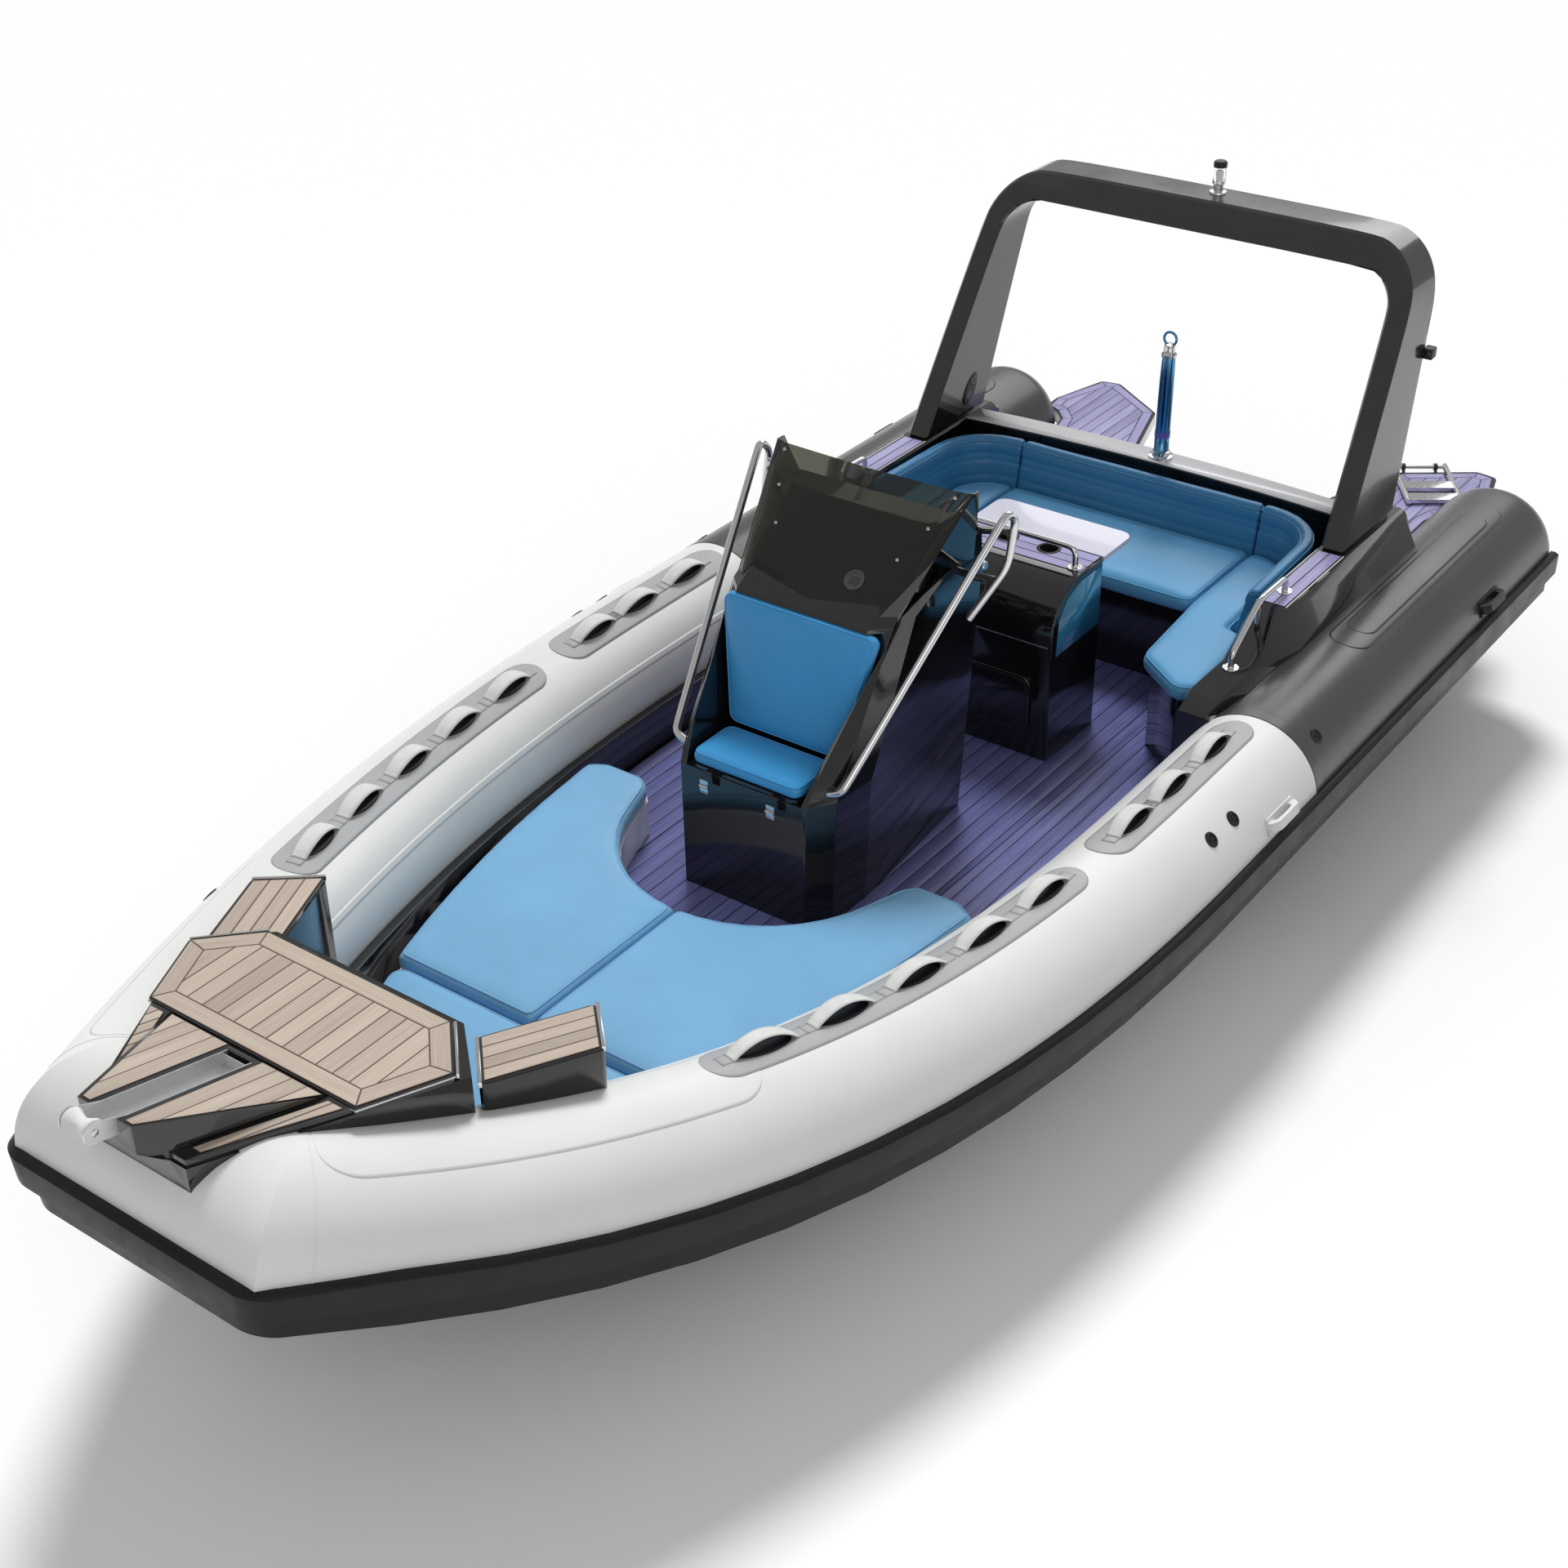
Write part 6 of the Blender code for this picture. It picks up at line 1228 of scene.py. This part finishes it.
def make_stern():
    dressed("bench_base", black_gelcoat, 0.006, 3)
    dressed("stern_bulkhead", black_gelcoat, 0.006, 3)
    smoothed("arch", arch_gelcoat, sharp_degs=24)
    # A pale sheet over the bulkhead top: a painted highlight on the black gelcoat.
    highlight_strip = top_face(solid_of("stern_bulkhead"), above=bulkhead_top_z)
    thicken(add_piece("bulkhead_painted_highlight", highlight_strip, pale_gelcoat, "moulding_gelcoat"), highlight_strip_thickness)
    start, end = coaming_top_y
    for side, word in SIDES:
        dressed(f"coaming_{word}", black_gelcoat, 0.006, 3)
        smoothed(f"stern_rail_{word}", stainless, sharp_degs=50)
        dressed(f"swim_platform_{word}", black_gelcoat, 0.005, 3)
        top = rectangle([side * x for x in coaming_top_x], coaming_top_y, coaming_top_z)
        boards(f"coaming_boards_{word}", top, STERN_DECK, AFT, 0.048, 0.004)
        edges = [bar((side * x, start, coaming_trim_z), (side * x, end, coaming_trim_z), 0.004, 0.005,
                     0.001) for x in coaming_trim_x]
        add_piece(f"coaming_trims_{word}", merged(*edges), white_plastic, "white_handle")
        deck = top_face(solid_of(f"swim_platform_{word}"), above=platform_top_z)
        boards(f"swim_boards_{word}", deck, STERN_DECK, AFT, 0.055, 0.012, border=0.045, short=0.034)
        spots = []
        for y, z in stern_rail_feet:
            for turn in range(rail_screw_count):
                angle = math.radians(90 + 360 // rail_screw_count * turn)
                x = side * (stern_rail_x + rail_screw_ring * math.cos(angle))
                spots.append(((x, y + rail_screw_ring * math.sin(angle), z), (0, 0, 1)))
        add_piece(f"rail_screws_{word}", screws(spots, 0.0035), stainless, "stainless")
    for place in ("centre", "port", "starboard"):
        cushion(f"bench_seat_{place}", bench_seat_vinyl, 0.76)
        cushion(f"bench_back_{place}", bench_vinyl, 0.93, voxel=0.006, longer=bench_back_longer,
                channels=bench_channels)
    smoothed("nav_light", clear_lens, sharp_degs=45)
    lamp = Matrix.Translation(lamp_foot)
    add_piece("nav_light_cap", turned(lamp_cap, 40, lamp), black_plastic, "lamp_lens")
    add_piece("nav_light_collar", turned(lamp_collar, 40, lamp), satin_steel, "lamp_lens")
    add_piece("nav_light_bulb", turned(lamp_bulb, 24, lamp), white_plastic, "lamp_lens")
    smoothed("ski_pole", pole_metal, sharp_degs=45)
    post = Matrix.Translation(pole_foot)
    add_piece("pole_band", turned(pole_band, 40, post), band_tape, "stainless")
    add_piece("pole_flange", turned(pole_flange, 48, post), stainless, "stainless")
    add_piece("pole_cap", turned(pole_cap, 40, post), stainless, "stainless")
    dressed("boarding_ladder", stainless, 0.003)
    make_arch_fittings()


def make_arch_fittings():
    add_piece("arch_side_lamp", bar(*side_lamp_ends, 0.050, 0.044, 0.006), black_plastic, "black_handle")
    add_piece("arch_side_lamp_lens", bar(*side_lens_ends, 0.008, 0.026, 0.003), clear_lens, "lamp_lens")
    lean = arch_lean.normalized()
    face = speaker_facing.normalized()
    face = (face - lean * face.dot(lean)).normalized()
    disc = turned(speaker_disc, 48)
    bmesh.ops.scale(disc, vec=speaker_stretch, verts=disc.verts)
    turn = Matrix((face.cross(lean) * -1, lean, face)).transposed().to_4x4()
    where = Matrix.Translation(speaker_middle + face * speaker_out) @ turn
    add_piece("arch_speaker", placed(disc, where), black_plastic, "black_handle")
    cones = [turned(speaker_cone, 32, where @ Matrix.Translation((0, offset, 0)))
             for offset in (speaker_cone_offset, -speaker_cone_offset)]
    add_piece("arch_speaker_cones", merged(*cones), gauge_face, "black_handle")


def make_strakes():
    """Rubbing strakes in two stages, with eased long edges and a wide radius at the bow corner."""

    def ease(bm, edges, offset, segments):
        bmesh.ops.bevel(bm, geom=edges, offset=offset, offset_type="OFFSET", affect="EDGES",
                        segments=segments, profile=0.5, clamp_overlap=True, material=-1)

    for side, word in SIDES:
        node = f"strake_{word}"
        bm = solid_of(node)
        here, away = to_side(side, corner), to_side(side, mitre)
        ease(bm, [edge for edge in bm.edges
                  if all(abs((vert.co - here).dot(away)) < strake_plane for vert in edge.verts)],
             strake_corner, 6)
        ease(bm, [edge for edge in bm.edges
                  if edge.calc_face_angle(0.0) > math.radians(strake_sharp_degs)
                  and not all(abs(vert.co.x) < strake_plane for vert in edge.verts)], strake_edge, 2)
        stand_in(f"{node}_moulding", bm, black_rubber, node, 30)


def make_rest():
    for _, word in SIDES:
        smoothed(f"carry_handle_{word}_fore", white_plastic, sharpness=0.55)
        smoothed(f"carry_handle_{word}_aft", black_plastic, sharpness=0.55)
        smoothed(f"console_rail_{word}", stainless, sharp_degs=50)
    dressed("hull", black_gelcoat, 0.004, 2, 20)
    dressed("deck_liner", black_gelcoat, 0.003, 2, 20)
    dressed("bow_locker", pale_gelcoat, 0.006, 3, 24)
    boards("deck_boards", top_face(solid_of("deck_sole")), SOLE_DECK, AFT, 0.062, 0.006, border=0.060,
           short=0.010, rise=0.0004)
    dressed("deck_sole", caulk, 0.002)
    for place, share in (("port", 0.80), ("starboard", 0.80), ("front", 0.76)):
        cushion(f"bow_cushion_{place}", pad_vinyl, share, voxel=0.012)

make_tubes()
make_seams()
make_loops()
make_valves()
make_strakes()
make_bow()
make_console()
make_module()
make_stern()
make_rest()


# Stage, light and camera


def make_stage():
    bm = bmesh.new()
    bmesh.ops.create_grid(bm, x_segments=1, y_segments=1, size=floor_size)
    mesh = bpy.data.meshes.new("floor")
    bm.to_mesh(mesh)
    bm.free()
    material, tree, shader = finish("pale_floor", 0.9, Specular_IOR_Level=0.1)
    path = tree.nodes.new("ShaderNodeLightPath")
    seen = join(tree, "Math", (path.outputs["Is Camera Ray"], path.outputs["Is Glossy Ray"]),
                operation="MAXIMUM")
    seen = join(tree, "Math", (seen, path.outputs["Is Transmission Ray"]), operation="MAXIMUM")
    tone = join(tree, "MapRange", (seen, 0.0, 1.0, floor_bounce, floor_shown))
    tree.links.new(tone, shader.inputs["Base Color"])
    mesh.materials.append(material)
    floor = into_scene("floor", mesh)
    floor.location.z = floor_z


def lamp_from(name, kind, place, aim, power, **settings):
    light = bpy.data.lights.new(name, kind)
    light.energy = power
    for setting, value in settings.items():
        setattr(light, setting, value)
    lamp = into_scene(name, light)
    lamp.location = place
    lamp.rotation_euler = (Vector(aim) - Vector(place)).to_track_quat("-Z", "Y").to_euler()


def make_world():
    world = bpy.data.worlds.new("studio")
    world.use_nodes = True
    bpy.context.scene.world = world
    tree = world.node_tree
    soft = tree.nodes["Background"]
    soft.inputs["Color"].default_value = (1.0, 1.0, 1.0, 1.0)
    soft.inputs["Strength"].default_value = sky_strength
    plain = tree.nodes.new("ShaderNodeBackground")
    plain.inputs["Color"].default_value = (1.0, 1.0, 1.0, 1.0)
    plain.inputs["Strength"].default_value = 1.0
    path = tree.nodes.new("ShaderNodeLightPath")
    seen = join(tree, "Math", (path.outputs["Is Camera Ray"], path.outputs["Is Transmission Ray"]),
                operation="MAXIMUM")
    mix = tree.nodes.new("ShaderNodeMixShader")
    tree.links.new(seen, mix.inputs[0])
    tree.links.new(soft.outputs[0], mix.inputs[1])
    tree.links.new(plain.outputs[0], mix.inputs[2])
    tree.links.new(mix.outputs[0], tree.nodes["World Output"].inputs["Surface"])


def make_camera():
    level = math.cos(camera_elevation)
    back = Vector((math.sin(camera_azimuth) * level, -math.cos(camera_azimuth) * level,
                   math.sin(camera_elevation)))
    right = Vector((0, 0, 1)).cross(back).normalized()
    up = back.cross(right)
    rolled_right = right * math.cos(camera_roll) + up * math.sin(camera_roll)
    rolled_up = up * math.cos(camera_roll) - right * math.sin(camera_roll)
    lens = bpy.data.cameras.new("camera")
    lens.lens = camera_lens
    lens.sensor_width = 36.0
    lens.shift_x = camera_shift
    camera = into_scene("camera", lens)
    turn = Matrix((rolled_right, rolled_up, back)).transposed().to_4x4()
    camera.matrix_world = Matrix.Translation(camera_place) @ turn
    bpy.context.scene.camera = camera


make_stage()
make_world()
lamp_from("key", "SUN", (-3.0, 4.6, 8.0), (0, 0, 0), 2.25, angle=math.radians(16.0))
bpy.data.objects["key"].visible_glossy = False
lamp_from("fill", "AREA", (6.0, -7.0, 6.0), (0, 0, 0.5), 110.0, size=5.0)
lamp_from("sheen", "AREA", (-1.5, 7.5, 6.0), (0, 0, 0.8), 190.0, shape="RECTANGLE", size=7.0, size_y=4.0)
bpy.data.objects["sheen"].visible_diffuse = False
make_camera()
bpy.context.scene.view_settings.view_transform = "Standard"
